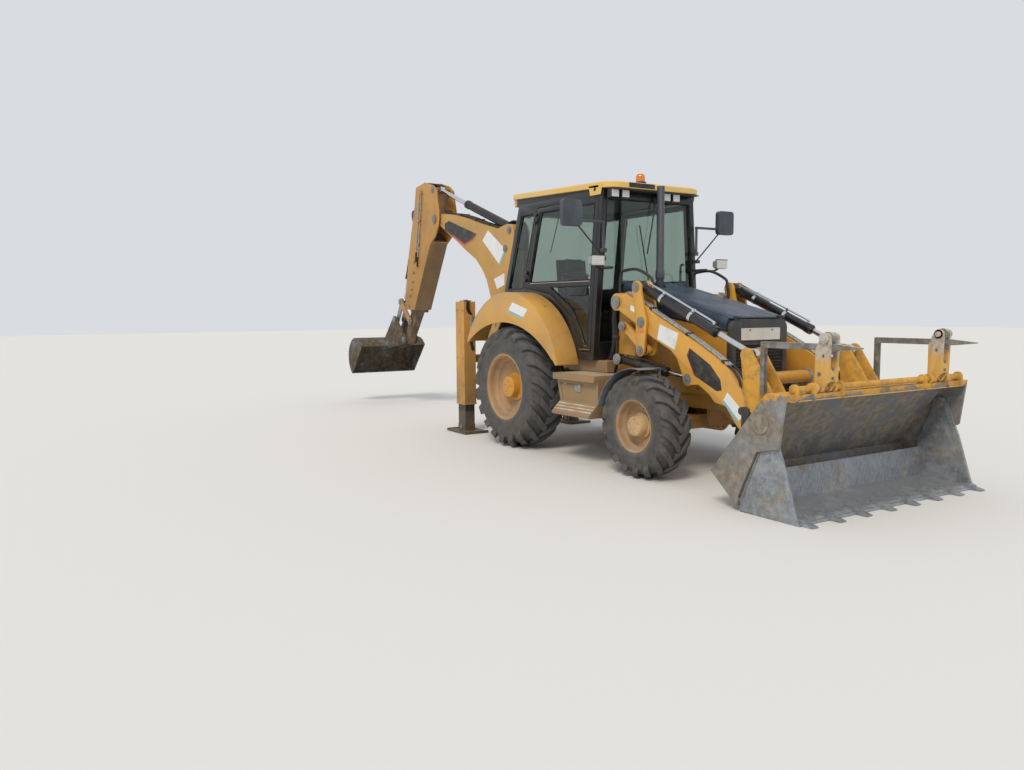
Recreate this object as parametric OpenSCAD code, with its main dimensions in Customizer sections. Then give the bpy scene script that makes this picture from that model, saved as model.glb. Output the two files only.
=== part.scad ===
// Backhoe loader with a clamshell loader bucket, stowed forks, a curved boom and an extending stick.
// X points forward, Y to the left, Z up. Lengths are in millimetres.

/* [Overall] */
// Distance between the axles
wheelbase = 2230; // [2100:10:2300]
// Height of the cab roof above the ground
roof_z = 2833; // [2700:10:2900]

/* [Wheels] */
// Radius of the rear tyres
rear_r = 700; // [660:5:720]
// Width of the rear tyres
rear_w = 430; // [380:5:440]
// Middle of a rear tyre from the centre line
rear_y = 868; // [860:1:880]
// Radius of the rear rims
rear_rim_r = 365; // [340:5:380]
// Radius of the front tyres
front_r = 494; // [470:2:500]
// Width of the front tyres
front_w = 310; // [280:5:315]
// Middle of a front tyre from the centre line
front_y = 885; // [880:1:895]
// Radius of the front rims
front_rim_r = 238; // [225:1:245]
// Kingpin of a front wheel from the centre line
kingpin_y = 800; // [790:1:805]

/* [Cab] */
// Half width of the cab at its sill
cab_y = 760; // [740:5:770]
// Half width of the cab under its roof
cab_top_y = 640; // [620:5:680]
// Height of the cab floor
floor_z = 1080; // [1060:5:1120]
// Thickness of the cab walls and doors
wall = 45; // [35:1:50]
// Thickness of the window panes
glass_t = 6; // [4:1:8]
// Gap round a door
door_gap = 6; // [5:1:10]

/* [Loader] */
// Width of the loader bucket
bucket_w = 2400; // [2300:10:2420]
// Thickness of a loader arm
arm_t = 110; // [90:5:120]
// Outer face of a loader arm from the centre line
arm_y = 695; // [680:5:700]
// Radius of the lift cylinder barrels
lift_r = 44; // [40:1:46]
// Radius of the tilt cylinder barrels
tilt_r = 45; // [40:1:48]
// Number of teeth on the loader bucket
tooth_n = 8; // [6:1:9]

/* [Backhoe] */
// Sideways place of the boom, negative to the right
boom_y = -150; // [-300:10:0]
// Half width of the boom
boom_hw = 120; // [100:5:120]
// Half width of the stick
stick_hw = 150; // [140:5:160]
// Width of the digging bucket
dig_w = 1200; // [600:50:1300]
// Radius of the round back of the digging bucket
dig_r = 340; // [300:10:360]

/* [Fits] */
// Radial clearance of a pin in its bore
pin_fit = 0.08; // [0.05:0.01:0.10]
// Gap where one piece is seated on another
seat = 0.3; // [0.2:0.1:0.5]
// Gap between pieces that move past each other
run_gap = 6; // [5:1:10]

/* [Hidden] */
$fn = 48;

yellow = "#d9a02c";
dark = "#2b2d30";
steel = "#8a8480";
chrome = "#c9ccd0";

// Pins of the loader, as [x, z]
arm_pin = [1566, 1661];
link_pin = [1646, 1419];
lever_arm_pin = [1977, 1462];
lever_low_pin = [1966, 1188];
lever_top_pin = [1900, 1803];
tilt_front_pin = [3312, 1196];
bucket_pin = [3420, 460];
lift_base_pin = [1570, 1082];
lift_eye_pin = [2587, 945];
clam_pin = [3890, 720];

// Pins of the backhoe, as [x, z]
swing_x = -1780;
foot_pin = [-1950, 720];
boom_cyl_base = [-1600, 1130];
boom_cyl_eye = [-1250, 2400];
stick_pin = [-3226, 2968];
stick_cyl_base = [-1150, 2630];
stick_cyl_eye = [-3277, 3413];
dig_pin = [-4490, 1110];
rocker_pin = [-4314, 1410];
rocker_arm = [-360, 330];
link_low_pin = dig_pin + rocker_arm;
link_top_pin = rocker_pin + rocker_arm;
dig_cyl_base = [-4110, 3120];
guard_y = [-1045, -830];
frame_seat_z = 700;
eye_at = [2806, 612];
eye_r = 24;
eye_t = 26;
stack_at = [1600, -140];
stick_front = [-3989, 1599];
ext_dir = [0.5085, 0.8611];
ext_perp = [-0.8611, 0.5085];

// The digging bucket in its own frame, with both its pins on one level
dig_tilt = atan2(rocker_arm[1], rocker_arm[0]) - 180;
dig_c = [-470, -870];
dig_c_world = dig_pin + [dig_c[0] * cos(dig_tilt) - dig_c[1] * sin(dig_tilt),
  dig_c[0] * sin(dig_tilt) + dig_c[1] * cos(dig_tilt)];
fork_tip_x = 4420;
rear_x = dig_c_world[0] - dig_r;
row_x = (fork_tip_x + rear_x) / 2;

pin_r = 38;
hub_r = 60;
rail_out = 345;
rail_in = 265;
frame_rear_x = -1390;
hood_hw = 380;
nose_x = 2822;
box_x = [-1425, -1205];
box_y = [-930, -760];
box_wall = 10;

// Moves what is drawn from the rear axle's frame to the part's own origin
module shifted() {
  translate([-row_x, 0, 0]) children();
}

// Draws right-hand pieces on the right, or mirrored on the left
module on_side(s) {
  mirror([0, s > 0 ? 1 : 0, 0]) children();
}

// Both sides at once
module both_sides() {
  for (s = [-1, 1]) on_side(s) children();
}

// A profile drawn in X and Z, as thick as from y0 to y1
module slab(y0, y1) {
  translate([0, y1, 0]) rotate([90, 0, 0]) linear_extrude(y1 - y0) children();
}

// A profile drawn in Y and Z, as thick as from x0 to x1
module wall_x(x0, x1) {
  translate([x0, 0, 0]) rotate([90, 0, 90]) linear_extrude(x1 - x0) children();
}

// A box from its lowest to its highest corner
module block(a, b) {
  translate(a) cube([b[0] - a[0], b[1] - a[1], b[2] - a[2]]);
}

// A round bar along Y at a point [x, z]
module pin_y(p, r, y0, y1) {
  translate([p[0], y1, p[1]]) rotate([90, 0, 0]) cylinder(r = r, h = y1 - y0);
}

module strap(p, q, rp, rq) {
  d = norm(q - p);
  a = atan2(q[1] - p[1], q[0] - p[0]);
  b = acos((rp - rq) / d);
  translate(p) circle(rp);
  translate(q) circle(rq);
  polygon([p + rp * [cos(a + b), sin(a + b)], q + rq * [cos(a + b), sin(a + b)],
    q + rq * [cos(a - b), sin(a - b)], p + rp * [cos(a - b), sin(a - b)]]);
}

module disc_at(p, r) {
  translate(p) circle(r);
}

// A hydraulic barrel with its base eye at p, pointing at q; its gland guides a rod of radius rod_r
module barrel(p, q, r, len, y, eye_hw, rod_r) {
  a = atan2(q[0] - p[0], q[1] - p[1]);
  translate([p[0], y, p[1]]) rotate([0, a, 0]) difference() {
    union() {
      rotate([90, 0, 0]) cylinder(r = hub_r * 0.9, h = eye_hw * 2, center = true);
      translate([0, 0, 40]) cylinder(r = r * 0.8, h = 40);
      translate([0, 0, 70]) cylinder(r = r, h = len - 70);
      translate([0, 0, len - 60]) cylinder(r = r * 1.1, h = 60);
    }
    rotate([90, 0, 0]) cylinder(r = pin_r + pin_fit, h = eye_hw * 3, center = true);
    translate([0, 0, 90]) cylinder(r = r * 0.8, h = len - 90 - 50);
    translate([0, 0, 90]) cylinder(r = rod_r + seat, h = len);
  }
}

// A piston rod with its open eye at q, running back towards p
module piston_rod(p, q, r, len, y, eye_hw) {
  a = atan2(p[0] - q[0], p[1] - q[1]);
  translate([q[0], y, q[1]]) rotate([0, a, 0]) difference() {
    union() {
      rotate([90, 0, 0]) cylinder(r = hub_r * 0.9, h = eye_hw * 2, center = true);
      translate([0, 0, 35]) cylinder(r = r, h = len - 35);
    }
    rotate([90, 0, 0]) cylinder(r = pin_r + 4, h = eye_hw * 3, center = true);
  }
}

// Radius and centre height helpers for the fender's two arcs
function circle3(a, b, c) = let(
  d = 2 * (a[0] * (b[1] - c[1]) + b[0] * (c[1] - a[1]) + c[0] * (a[1] - b[1])),
  ux = ((a * a) * (b[1] - c[1]) + (b * b) * (c[1] - a[1]) + (c * c) * (a[1] - b[1])) / d,
  uz = ((a * a) * (c[0] - b[0]) + (b * b) * (a[0] - c[0]) + (c * c) * (b[0] - a[0])) / d)
  [ux, uz];

// The hood turns on two short pins at its nose
hood_pin = [2818, 1508];
hood_pin_y = [-330, 250];

// Height of the hood's lower edge at x
function hood_edge_z(x) = 1597 - (x - 1446) * (1597 - 1380) / (2755 - 1446);

// Chassis
tower_x = [1430, 1700];

module rail_profile() {
  difference() {
    polygon([[frame_rear_x, 520], [frame_rear_x, 830], [-300, 850], [1300, 800], [2762, 790],
      [2762, 640], [1400, 620], [900, 520]]);
    disc_at([0, rear_r], 110 + seat);
  }
}

module side_cover_profile() {
  polygon([[1440, 760], [1440, 1590], [2755, 1372], [2755, 780]]);
}

module tower_profile() {
  polygon([[1430, 640], [1430, 1180], [1470, 1700], [1540, 1760], [1620, 1750], [1680, 1640],
    [1730, 1430], [1700, 1100], [1700, 640]]);
}

module chassis_frame() {
  color(yellow) shifted() {
    both_sides() {
      slab(-rail_out, -rail_in) rail_profile();
      slab(-375, -rail_out) side_cover_profile();
      for (x = [1500, 2640]) slab(-375, -360) polygon([[x, 1300], [x + 60, 1300],
        [x + 60, hood_edge_z(x + 60) - seat], [x, hood_edge_z(x) - seat]]);
      slab(-560, -500) tower_profile();
      block([tower_x[0], -501, 640], [tower_x[1], -rail_out, 780]);
      block([tower_x[0], -501, 1100], [tower_x[0] + 50, -370, 1300]);
      for (x = [-500, 620, 1160]) block([x, -rail_out, 790], [x + 90, -rail_in, floor_z - 20 - seat]);
      difference() {
        slab(-rail_out, -rail_out + eye_t) strap(eye_at, eye_at + [-110, 90], eye_r + 26, 52);
        pin_y(eye_at, eye_r, -rail_out - 1, -rail_out + eye_t + 1);
      }
      pin_y(arm_pin, pin_r, -arm_y - 12, -550);
      pin_y(link_pin, pin_r * 0.8, -arm_y + 8, -550);
      pin_y(lift_base_pin, pin_r, -arm_y + 8, -550);
    }
    block([frame_rear_x, -rail_in - 1, 540], [frame_rear_x + 30, rail_in + 1, 820]);
    for (x = [-1000, 420, 1300]) block([x, -rail_in - 1, 560], [x + 60, rail_in + 1, 700]);
    block([2722, -rail_in - 1, 650], [2762, rail_in + 1, 900]);
    for (x = [wheelbase - 260, wheelbase + 190]) difference() {
      block([x, -rail_in - 1, 470], [x + 35, rail_in + 1, frame_seat_z]);
      translate([x - 1, 0, 560]) rotate([0, 90, 0]) cylinder(r = 45 + seat, h = 42);
    }
  }
}

module engine_block() {
  color(dark) shifted() {
    block([1500, -rail_in + seat, frame_seat_z + seat], [2600, rail_in - seat, 1300]);
    block([1560, -180, 1300], [2540, 180, 1480]);
  }
}

module radiator_grille() {
  slat_n = 12;
  low_z = 830;
  top_z = 1490;
  color(dark) shifted() {
    difference() {
      intersection() {
        block([2762 + seat, -372, low_z], [nose_x, 372, top_z]);
        wall_x(2700, 2900) union() {
          translate([-372, 700]) square([744, top_z - 90 - 700]);
          translate([-282, 700]) square([564, top_z - 700]);
          for (s = [-1, 1]) translate([s * 282, top_z - 90]) circle(90);
        }
      }
      block([2790, -320, 870], [nose_x + 1, 320, 1250]);
    }
    for (i = [0:slat_n - 1])
      translate([2789, -321, 884 + i * (1250 - 884) / slat_n]) rotate([0, 25, 0]) cube([26, 642, 7]);
    block([nose_x - 1, -265, 1290], [nose_x + 6, 265, 1410]);
    for (y = hood_pin_y) {
      for (dy = [0, 68]) slab(y + dy, y + dy + 12) {
        disc_at(hood_pin, 12);
        polygon([[2800, 1480], [nose_x, 1480], hood_pin + [11, 0], hood_pin + [-11, 0]]);
      }
      pin_y(hood_pin, 7, y, y + 80);
    }
  }
}

// Axles
module rear_axle() {
  color(dark) shifted() {
    pin_y([0, rear_r], 110, -640, 640);
    pin_y([0, rear_r], 190, -140, 140);
    translate([-200, 0, rear_r]) rotate([0, 90, 0]) cylinder(r = 120, h = 400);
    both_sides() {
      pin_y([0, rear_r], 150, -690, -600);
      pin_y([0, rear_r], hub_r, -900, -680);
    }
  }
}

module front_axle() {
  z = front_r;
  color(yellow) shifted() difference() {
    union() {
      block([wheelbase - 60, -600, z - 75], [wheelbase + 60, 600, z + 60]);
      translate([wheelbase - 255, 0, 560]) rotate([0, 90, 0]) cylinder(r = 45, h = 475);
      translate([wheelbase - 130, 0, z + 10]) rotate([0, 90, 0]) cylinder(r = 120, h = 260);
      both_sides() {
        block([wheelbase - 45, -650, z - 130], [wheelbase + 45, -599, z + 130]);
        for (dz = [-130, 100]) slab_z(z + dz, 30) difference() {
          strap([wheelbase, -kingpin_y], [wheelbase, -640], 50, 44);
          disc_at([wheelbase, -kingpin_y], 20 + pin_fit);
        }
      }
      pin_y([wheelbase - 175, z], 38, -190, 190);
      block([wheelbase - 180, -60, z - 30], [wheelbase - 50, 60, z + 30]);
    }
    pin_y([wheelbase - 175, z], 18 + seat, -700, 700);
  }
}

// A profile drawn in X and Y, standing on height z
module slab_z(z, h) {
  translate([0, 0, z]) linear_extrude(h) children();
}

module steering_rod() {
  color(chrome) shifted() pin_y([wheelbase - 175, front_r], 18, -630, 630);
}

module knuckle(s) {
  z = front_r;
  guard_r = front_r + 42;
  color(dark) shifted() on_side(s) {
    translate([wheelbase, -kingpin_y, z - 94]) cylinder(r = 50, h = 188);
    translate([wheelbase, -kingpin_y, z - 125]) cylinder(r = 20, h = 262);
    pin_y([wheelbase, z], 80, -870, -kingpin_y);
    pin_y([wheelbase, z], 45, -front_y - 58, -860);
    block([wheelbase - 60, -kingpin_y + 10, z - 20], [wheelbase - 25, -706, z + 20]);
    block([wheelbase - 190, -722, z - 20], [wheelbase - 25, -706, z + 20]);
    block([wheelbase - 190, -722, z - 20], [wheelbase - 150, -690, z + 20]);
    block([wheelbase - 25, -kingpin_y - 20, z + 136], [wheelbase + 15, -706, z + 150]);
    block([wheelbase - 25, -722, z + 136], [wheelbase + 15, -706, z + guard_r + 4]);
    slab(guard_y[0], guard_y[1]) guard_profile(guard_r);
    block([wheelbase - 25, guard_y[1] - 1, z + guard_r - 12], [wheelbase + 15, -706, z + guard_r + 4]);
  }
}

module guard_profile(r) {
  translate([wheelbase, front_r]) intersection() {
    difference() {
      circle(r + 8, $fn = 96);
      circle(r, $fn = 96);
    }
    polygon([[0, 0], [900 * cos(80), 900 * sin(80)], [0, 900], [-900, 900],
      [900 * cos(165), 900 * sin(165)]]);
  }
}

// Wheels
module tyre_profile(r, w, rim) {
  hw = w / 2;
  polygon([[rim + seat, -hw * 0.80], [rim + 30, -hw * 0.92], [(r + rim) / 2, -hw], [r - 70, -hw * 0.97],
    [r - 22, -hw * 0.86], [r, -hw * 0.70], [r, hw * 0.70], [r - 22, hw * 0.86], [r - 70, hw * 0.97],
    [(r + rim) / 2, hw], [rim + 30, hw * 0.92], [rim + seat, hw * 0.80]]);
}

module rim_profile(rim, hw, hub, disc) {
  polygon([[hub, disc], [rim * 0.5, disc], [rim * 0.62, disc - 25], [rim - 45, disc - 25],
    [rim - 45, hw * 0.55],
    [rim - 22, hw * 0.62], [rim - 22, hw * 0.80], [rim + 14, hw * 0.95], [rim + 20, hw * 0.95],
    [rim, hw * 0.82], [rim, -hw * 0.82], [rim + 20, -hw * 0.95], [rim + 14, -hw * 0.95],
    [rim - 22, -hw * 0.80], [rim - 22, -hw * 0.62], [rim - 60, -hw * 0.55], [rim - 60, disc - 45],
    [rim * 0.6, disc - 45], [rim * 0.5, disc - 20], [hub, disc - 20]]);
}

module wheel(x, r, w, rim, y, hub, disc, s) {
  color(dark) shifted() on_side(s) translate([x, -y, r]) rotate([90, 0, 0]) {
    rotate_extrude($fn = 96) tyre_profile(r, w, rim);
    rotate_extrude($fn = 96) rim_profile(rim, w / 2, hub + pin_fit, disc);
    difference() {
      translate([0, 0, disc - 30]) cylinder(r = rim * 0.38, h = 75);
      translate([0, 0, disc - 31]) cylinder(r = hub + pin_fit, h = 50);
    }
  }
}

module rear_wheel(s) {
  wheel(0, rear_r, rear_w, rear_rim_r, rear_y, hub_r, 40, s);
}

module front_wheel(s) {
  wheel(wheelbase, front_r, front_w, front_rim_r, front_y, 45, 40, s);
}

// Boxes beside the chassis
module step_boxes() {
  color(yellow) shifted() both_sides() {
    difference() {
      slab(-985, -rail_out - seat) polygon([[935, 860], [1035, 500], [1424, 500], [1424, 860]]);
      slab(-986, -975) polygon([[990, 820], [1060, 570], [1390, 570], [1390, 820]]);
    }
    block([1424 - 1, -985, 500], [1640, -566, 860]);
    block([935, -1040, 859], [1640, -566, 925]);
    wall_x(1000, 1640) polygon([[-984, 640], [-1100, 528], [-1100, 500], [-900, 500], [-900, 520]]);
  }
}

// Rear fenders
fender_top = circle3([-900, 1240], [-60, 1790], [1000, 1070]);
fender_top_r = norm([-60, 1790] - fender_top);
arch = circle3([-860, 1215], [0, 1450], [930, 1060]);
arch_r = norm([0, 1450] - arch);

module crescent(t) {
  intersection() {
    difference() {
      disc_at(fender_top, fender_top_r - t, $fn = 128);
      disc_at(arch, arch_r, $fn = 128);
    }
    translate([-905, 1000]) square([1920, 900]);
  }
}

module rear_fenders() {
  color(yellow) shifted() both_sides() difference() {
    slab(-1050, -cab_y - seat) crescent(0);
    slab(-1038, -cab_y + 1) crescent(12);
  }
}

// Cab walls: an outline in X and Z and one in Y and Z, each set in by i
function side_outline(i) = [[1270 - i, floor_z - 20 + i], [1270 - i, roof_z - seat - i],
  [-330 + i, roof_z - seat - i],
  [-590 + i, 1700], [-590 + i, floor_z - 20 + i]];
function end_outline(i) = [[-cab_y + i, floor_z - 20], [-cab_top_y + i, roof_z], [cab_top_y - i, roof_z],
  [cab_y - i, floor_z - 20]];

// The wells over the rear wheels, set in by i
module wells(i) {
  both_sides() slab(-900, -640 + i) disc_at([0, rear_r], rear_r + 45 + i);
}

module cab_solid(i) {
  difference() {
    intersection() {
      slab(-cab_y, cab_y) polygon(side_outline(i));
      wall_x(-700, 1300) polygon(end_outline(i));
    }
    wells(i);
  }
}

// Windows and doors in X and Z, from tables of corners
door_outline = [[1215, 1140], [1215, 2760], [85, 2760], [-105, 1850], [-30, 1830], [420, 1760],
  [800, 1530],
  [1010, 1250], [1060, 1140]];
function skin_y(z) = cab_y - (z - floor_z + 20) * (cab_y - cab_top_y) / (roof_z - floor_z + 20);
hinge_low = [door_outline[3][0] + door_gap / 2, -skin_y(door_outline[3][1]), door_outline[3][1]];
hinge_high = [door_outline[2][0] + door_gap / 2, -skin_y(door_outline[2][1]), door_outline[2][1]];
door_window = [[1150, 1900], [1150, 2700], [130, 2700], [-30, 1905]];
door_low_window = [[1150, 1210], [1150, 1840], [400, 1840], [830, 1600], [1085, 1230]];
quarter_window = [[25, 2700], [-270, 2700], [-480, 1840], [-160, 1840]];

// A polygon that runs anticlockwise, with each edge moved inwards by d
function edge_in(p, q) = [p[1] - q[1], q[0] - p[0]] / norm(q - p);
function inset(pts, d) = let(n = len(pts)) [for (i = [0:n - 1])
  let(a = edge_in(pts[(i + n - 1) % n], pts[i]), b = edge_in(pts[i], pts[(i + 1) % n]))
  pts[i] + d * (a + b) / (1 + a * b)];

module windshield_profile(d) {
  polygon([[-cab_y + 75 + d, 1240 + d], [-cab_top_y + 60 + d, 2740 - d], [cab_top_y - 60 - d, 2740 - d],
    [cab_y - 75 - d, 1240 + d]]);
}

module rear_window_profile(d) {
  polygon([[-cab_y + 90 + d, 1760 + d], [-cab_top_y + 70 + d, 2720 - d], [cab_top_y - 70 - d, 2720 - d],
    [cab_y - 90 - d, 1760 + d]]);
}

module cab_shell(i, j) {
  difference() {
    cab_solid(i);
    cab_solid(j);
  }
}

// Draws in the frame of a right-hand door's hinge line, at a share t of its height
module at_hinge(t) {
  d = hinge_high - hinge_low;
  p = hinge_low + t * d;
  translate(p) rotate([-asin(d[1] / norm(d)), atan2(d[0], d[2]), 0]) children();
}

module hinge_half(x0, x1, z0, z1, bore) {
  difference() {
    union() {
      translate([0, -14, z0]) cylinder(r = 12, h = z1 - z0);
      block([min(0, x1), -20, z0], [max(0, x1), -8, z1]);
      block([min(x0, x1), -20, z0], [max(x0, x1), 4, z1]);
    }
    if (bore > 0) translate([0, -14, z0 - 1]) cylinder(r = bore, h = z1 - z0 + 2);
  }
}

module hinges_fixed() {
  for (t = [0.14, 0.86]) at_hinge(t) {
    hinge_half(-8, -40, -62, -26, 0);
    hinge_half(-8, -40, 26, 62, 0);
    translate([0, -14, -62]) cylinder(r = 6, h = 124);
  }
}

module hinges_moving() {
  for (t = [0.14, 0.86]) at_hinge(t) hinge_half(8, 45, -25, 25, 6 + pin_fit);
}

module cab_frame() {
  color(dark) shifted() both_sides() hinges_fixed();
  color(dark) shifted() difference() {
    cab_shell(0, wall);
    slab(-800, 800) polygon(door_outline);
    slab(-800, 800) polygon(quarter_window);
    wall_x(1200, 1300) windshield_profile(0);
    wall_x(-700, -250) rear_window_profile(0);
  }
}

module pane(pts) {
  intersection() {
    cab_shell(18, 18 + glass_t);
    slab(-800, 800) polygon(inset(pts, seat));
  }
}

module cab_glass() {
  color([0.4, 0.55, 0.5, 0.4]) shifted() {
    pane(quarter_window);
    intersection() {
      cab_shell(18, 18 + glass_t);
      wall_x(1200, 1300) windshield_profile(seat);
    }
    intersection() {
      cab_shell(18, 18 + glass_t);
      wall_x(-700, -250) rear_window_profile(seat);
    }
  }
}

module door(s) {
  color(dark) shifted() on_side(s) hinges_moving();
  color(dark) shifted() intersection() {
    difference() {
      cab_shell(0, wall);
      slab(-800, 800) polygon(door_window);
      slab(-800, 800) polygon(door_low_window);
    }
    slab(-800, 800) polygon(inset(door_outline, door_gap));
    block([-400, s < 0 ? -900 : 0, 900], [1400, s < 0 ? 0 : 900, 3000]);
  }
}

module door_glass(s) {
  color([0.4, 0.55, 0.5, 0.4]) shifted() intersection() {
    union() {
      pane(door_window);
      pane(door_low_window);
    }
    block([-400, s < 0 ? -900 : 0, 900], [1400, s < 0 ? 0 : 900, 3000]);
  }
}

module cab_floor() {
  inner = cab_y - wall - 8;
  color(dark) shifted() {
    difference() {
      block([-530, -inner + 60, floor_z + wall - 20 + seat], [1215, inner - 60, floor_z + wall + 10]);
      wells(wall + seat);
    }
    block([-60, -250, floor_z + 50], [420, 250, floor_z + 360]);
    block([1000, -330, floor_z + 50], [1160, 330, floor_z + 720]);
    translate([930, 0, floor_z + 600]) rotate([0, -35, 0]) {
      translate([0, 0, -250]) cylinder(r = 35, h = 360);
      translate([0, 0, 100]) rotate_extrude() translate([190, 0]) circle(14);
      block([-190, -12, 96], [190, 12, 106]);
      block([-12, -190, 96], [12, 190, 106]);
    }
  }
}

module operator_seat() {
  z = floor_z + 360 + seat;
  color("#3a3c40") shifted() {
    block([-80, -250, z], [420, 250, z + 120]);
    slab(-240, 240) polygon([[-80, z + 120 + seat], [40, z + 120 + seat], [-40, z + 740], [-110, z + 760],
      [-170, z + 730]]);
  }
}

module cab_roof() {
  color("#dcc48a") shifted() pin_z(1120, 0, roof_z + 60, roof_z + 112 - seat, 70);
  color("#dcc48a") shifted() intersection() {
    slab(-700, 700) polygon([[-500, roof_z - 30], [-400, roof_z - 30], [-370, roof_z], [1425, roof_z],
      [1425, roof_z + 62], [1340, roof_z + 92], [-370, roof_z + 160], [-500, roof_z + 145]]);
    translate([0, 0, roof_z - 60]) linear_extrude(300) rounded_plan(-490, 1420, 665, 120);
  }
  color("#dcc48a") shifted() both_sides()
    block([1060, -664, roof_z - 60], [1283, -cab_top_y - 8, roof_z + 5]);
}

module rounded_plan(x0, x1, hw, r) {
  translate([x0 + r, -hw]) square([x1 - x0 - 2 * r, 2 * hw]);
  translate([x0, -hw + r]) square([x1 - x0, 2 * hw - 2 * r]);
  for (x = [x0 + r, x1 - r], y = [-hw + r, hw - r]) translate([x, y]) circle(r);
}

module exhaust_stack() {
  color(dark) shifted() translate([stack_at[0], stack_at[1], 0]) difference() {
    union() {
      translate([0, 0, 1480 + seat]) cylinder(r = 40, h = 1370 - seat);
      translate([0, 0, 1900]) cylinder(r = 47, h = 90);
    }
    translate([0, 0, 2400]) cylinder(r = 35, h = 500);
  }
}

module mirrors() {
  color(dark) shifted() both_sides() {
    block([1270 + seat, -676, 2180], [1330, -630, 2220]);
    pin_z(1310, -660, 2180, 2500, 14);
    block([1296, -1060, 2476], [1324, -650, 2500]);
    wall_x(1300, 1352) union() {
      translate([-1205 + 40, 2425]) square([160, 265]);
      translate([-1205, 2425 + 40]) square([240, 185]);
      for (y = [-1165, -1005], z = [2465, 2650]) translate([y, z]) circle(40);
    }
  }
}

module pin_z(x, y, z0, z1, r) {
  translate([x, y, z0]) cylinder(r = r, h = z1 - z0);
}

module lamps() {
  color("#d8d8d8") shifted() {
    for (y = [-555, -415, 160, 295]) block([1300, y - 55, roof_z - 95], [1370, y + 55, roof_z - seat]);
    for (y = [-480, 480]) block([-450, y - 60, roof_z - 130], [-390, y + 60, roof_z - 30 - seat]);
    translate([1120, 0, roof_z + 112]) cylinder(r = 55, h = 110);
    both_sides() {
      block([1270 + seat, -690, 2000], [1460, -645, 2030]);
      block([1420, -930, 1995], [1450, -645, 2025]);
      block([1400, -960, 2025], [1500, -790, 2135]);
    }
  }
}

// Rear frame with the housings of the stabilizers
module sideshift_frame() {
  color(yellow) shifted() {
    for (z = [[420, 540], [900, 1000]])
      block([-1500, -box_y_in(), z[0]], [frame_rear_x - seat, box_y_in(), z[1]]);
    for (y = [-700, -330, 270, 640]) block([-1470, y, 539], [-1430, y + 60, 901]);
    both_sides() difference() {
      union() {
        block([box_x[0], box_y[0], 370], [box_x[1], box_y[1], 1700]);
        block([-1500, -800, 420], [box_x[0] + 1, box_y[1], 1000]);
      }
      block([box_x[0] + box_wall, box_y[0] + box_wall, 360],
        [box_x[1] - box_wall, box_y[1] - box_wall, 1690]);
    }
  }
}

function box_y_in() = -box_y[1] + 1;

module stabilizer(s) {
  c = box_wall + run_gap;
  d = box_wall + seat;
  color(dark) shifted() on_side(s) {
    block([box_x[0] + c, box_y[0] + c, 23], [box_x[1] - c, box_y[1] - c, 1180]);
    for (z = [560, 1100]) block([box_x[0] + d, box_y[0] + d, z], [box_x[1] - d, box_y[1] - d, z + 70]);
    block([-1560, -1010, 0], [-1060, -660, 24]);
    for (y = [-925, -785]) block([-1400, y, 23], [-1230, y + 20, 110]);
  }
}

function hood_line(t) = [[1290 + t, 1620], [1446, 1597], [2755, 1380], [2755, 1498], [2812 - t, 1498],
  [2790 - t, 1515 - t], [2500, 1605 - t], [1460, 1862 - t], [1290 + t, 1862 - t]];

module hood_section(hw, r, drop) {
  translate([1250, 0, 1912 - drop]) rotate([0, 13.9, 0]) wall_x(-150, 1900) union() {
    translate([-hw, -700]) square([2 * hw, 700 - r]);
    translate([-hw + r, -700]) square([2 * hw - 2 * r, 700]);
    for (s = [-1, 1]) translate([s * (hw - r), -r]) circle(r);
  }
}

module hood() {
  color(dark) shifted() difference() {
    intersection() {
      slab(-hood_hw, hood_hw) polygon(hood_line(0));
      hood_section(hood_hw, 110, 0);
    }
    intersection() {
      slab(-hood_hw + 25, hood_hw - 25) polygon([[1310, 1500], [2735, 1300], [2735, 1510], [2500, 1580],
        [1460, 1838], [1310, 1838]]);
      hood_section(hood_hw - 25, 90, 25);
    }
    translate([stack_at[0], stack_at[1], 1400]) cylinder(r = 70, h = 600);
    block([1200, stack_at[1] - 70, 1400], [stack_at[0], stack_at[1] + 70, 2000]);
    for (y = hood_pin_y) block([2790, y - 5, 1480], [2860, y + 85, 1560]);
  }
  color(dark) shifted() for (y = hood_pin_y) slab(y + 16, y + 64) difference() {
    union() {
      disc_at(hood_pin, 14);
      polygon([hood_pin + [2, 14], hood_pin + [-29, 14], hood_pin + [-29, -8], hood_pin + [0, -12]]);
    }
    disc_at(hood_pin, 7 + pin_fit);
  }
}

// Loader
module arm_profile() {
  difference() {
    union() {
      disc_at(arm_pin, 88);
      disc_at(bucket_pin, 62);
      disc_at(lift_eye_pin, 60);
      polygon([[1600, 1742], [1700, 1745], [2020, 1610], [2100, 1552], [2410, 1410], [2690, 1280],
        [2940, 1150],
        [3080, 1065], [3140, 990], [3220, 900], [3290, 800], [3469, 497], [3372, 421], [3180, 590],
          [3060, 740],
        [2930, 762], [2860, 830], [2730, 905], [2560, 890], [2530, 960], [2450, 1130], [2370, 1200],
        [2120, 1310], [1840, 1460], [1600, 1580]]);
    }
    disc_at(arm_pin, pin_r + pin_fit);
    disc_at(lever_arm_pin, pin_r + pin_fit);
    disc_at(bucket_pin, pin_r + pin_fit);
  }
}

module loader_arms() {
  color(yellow) shifted() {
    both_sides() {
      difference() {
        slab(-arm_y, -arm_y + arm_t) arm_profile();
        pin_y(lift_eye_pin, 72, -arm_y + 20, -arm_y + arm_t - 20);
        slab(-arm_y + 20, -arm_y + arm_t - 20) polygon([[1700, 700], [1700, 1050], [2480, 1005],
          [2540, 1030],
          [2640, 1030], [2660, 860], [2400, 700]]);
      }
    }
    pin_y([2890, 935], 60, -arm_y + arm_t - 1, arm_y - arm_t + 1);
  }
}

module lever_profile() {
  union() {
    strap(lever_top_pin, lever_arm_pin, 60, 75);
    strap(lever_arm_pin, lever_low_pin, 75, 60);
  }
}

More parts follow.
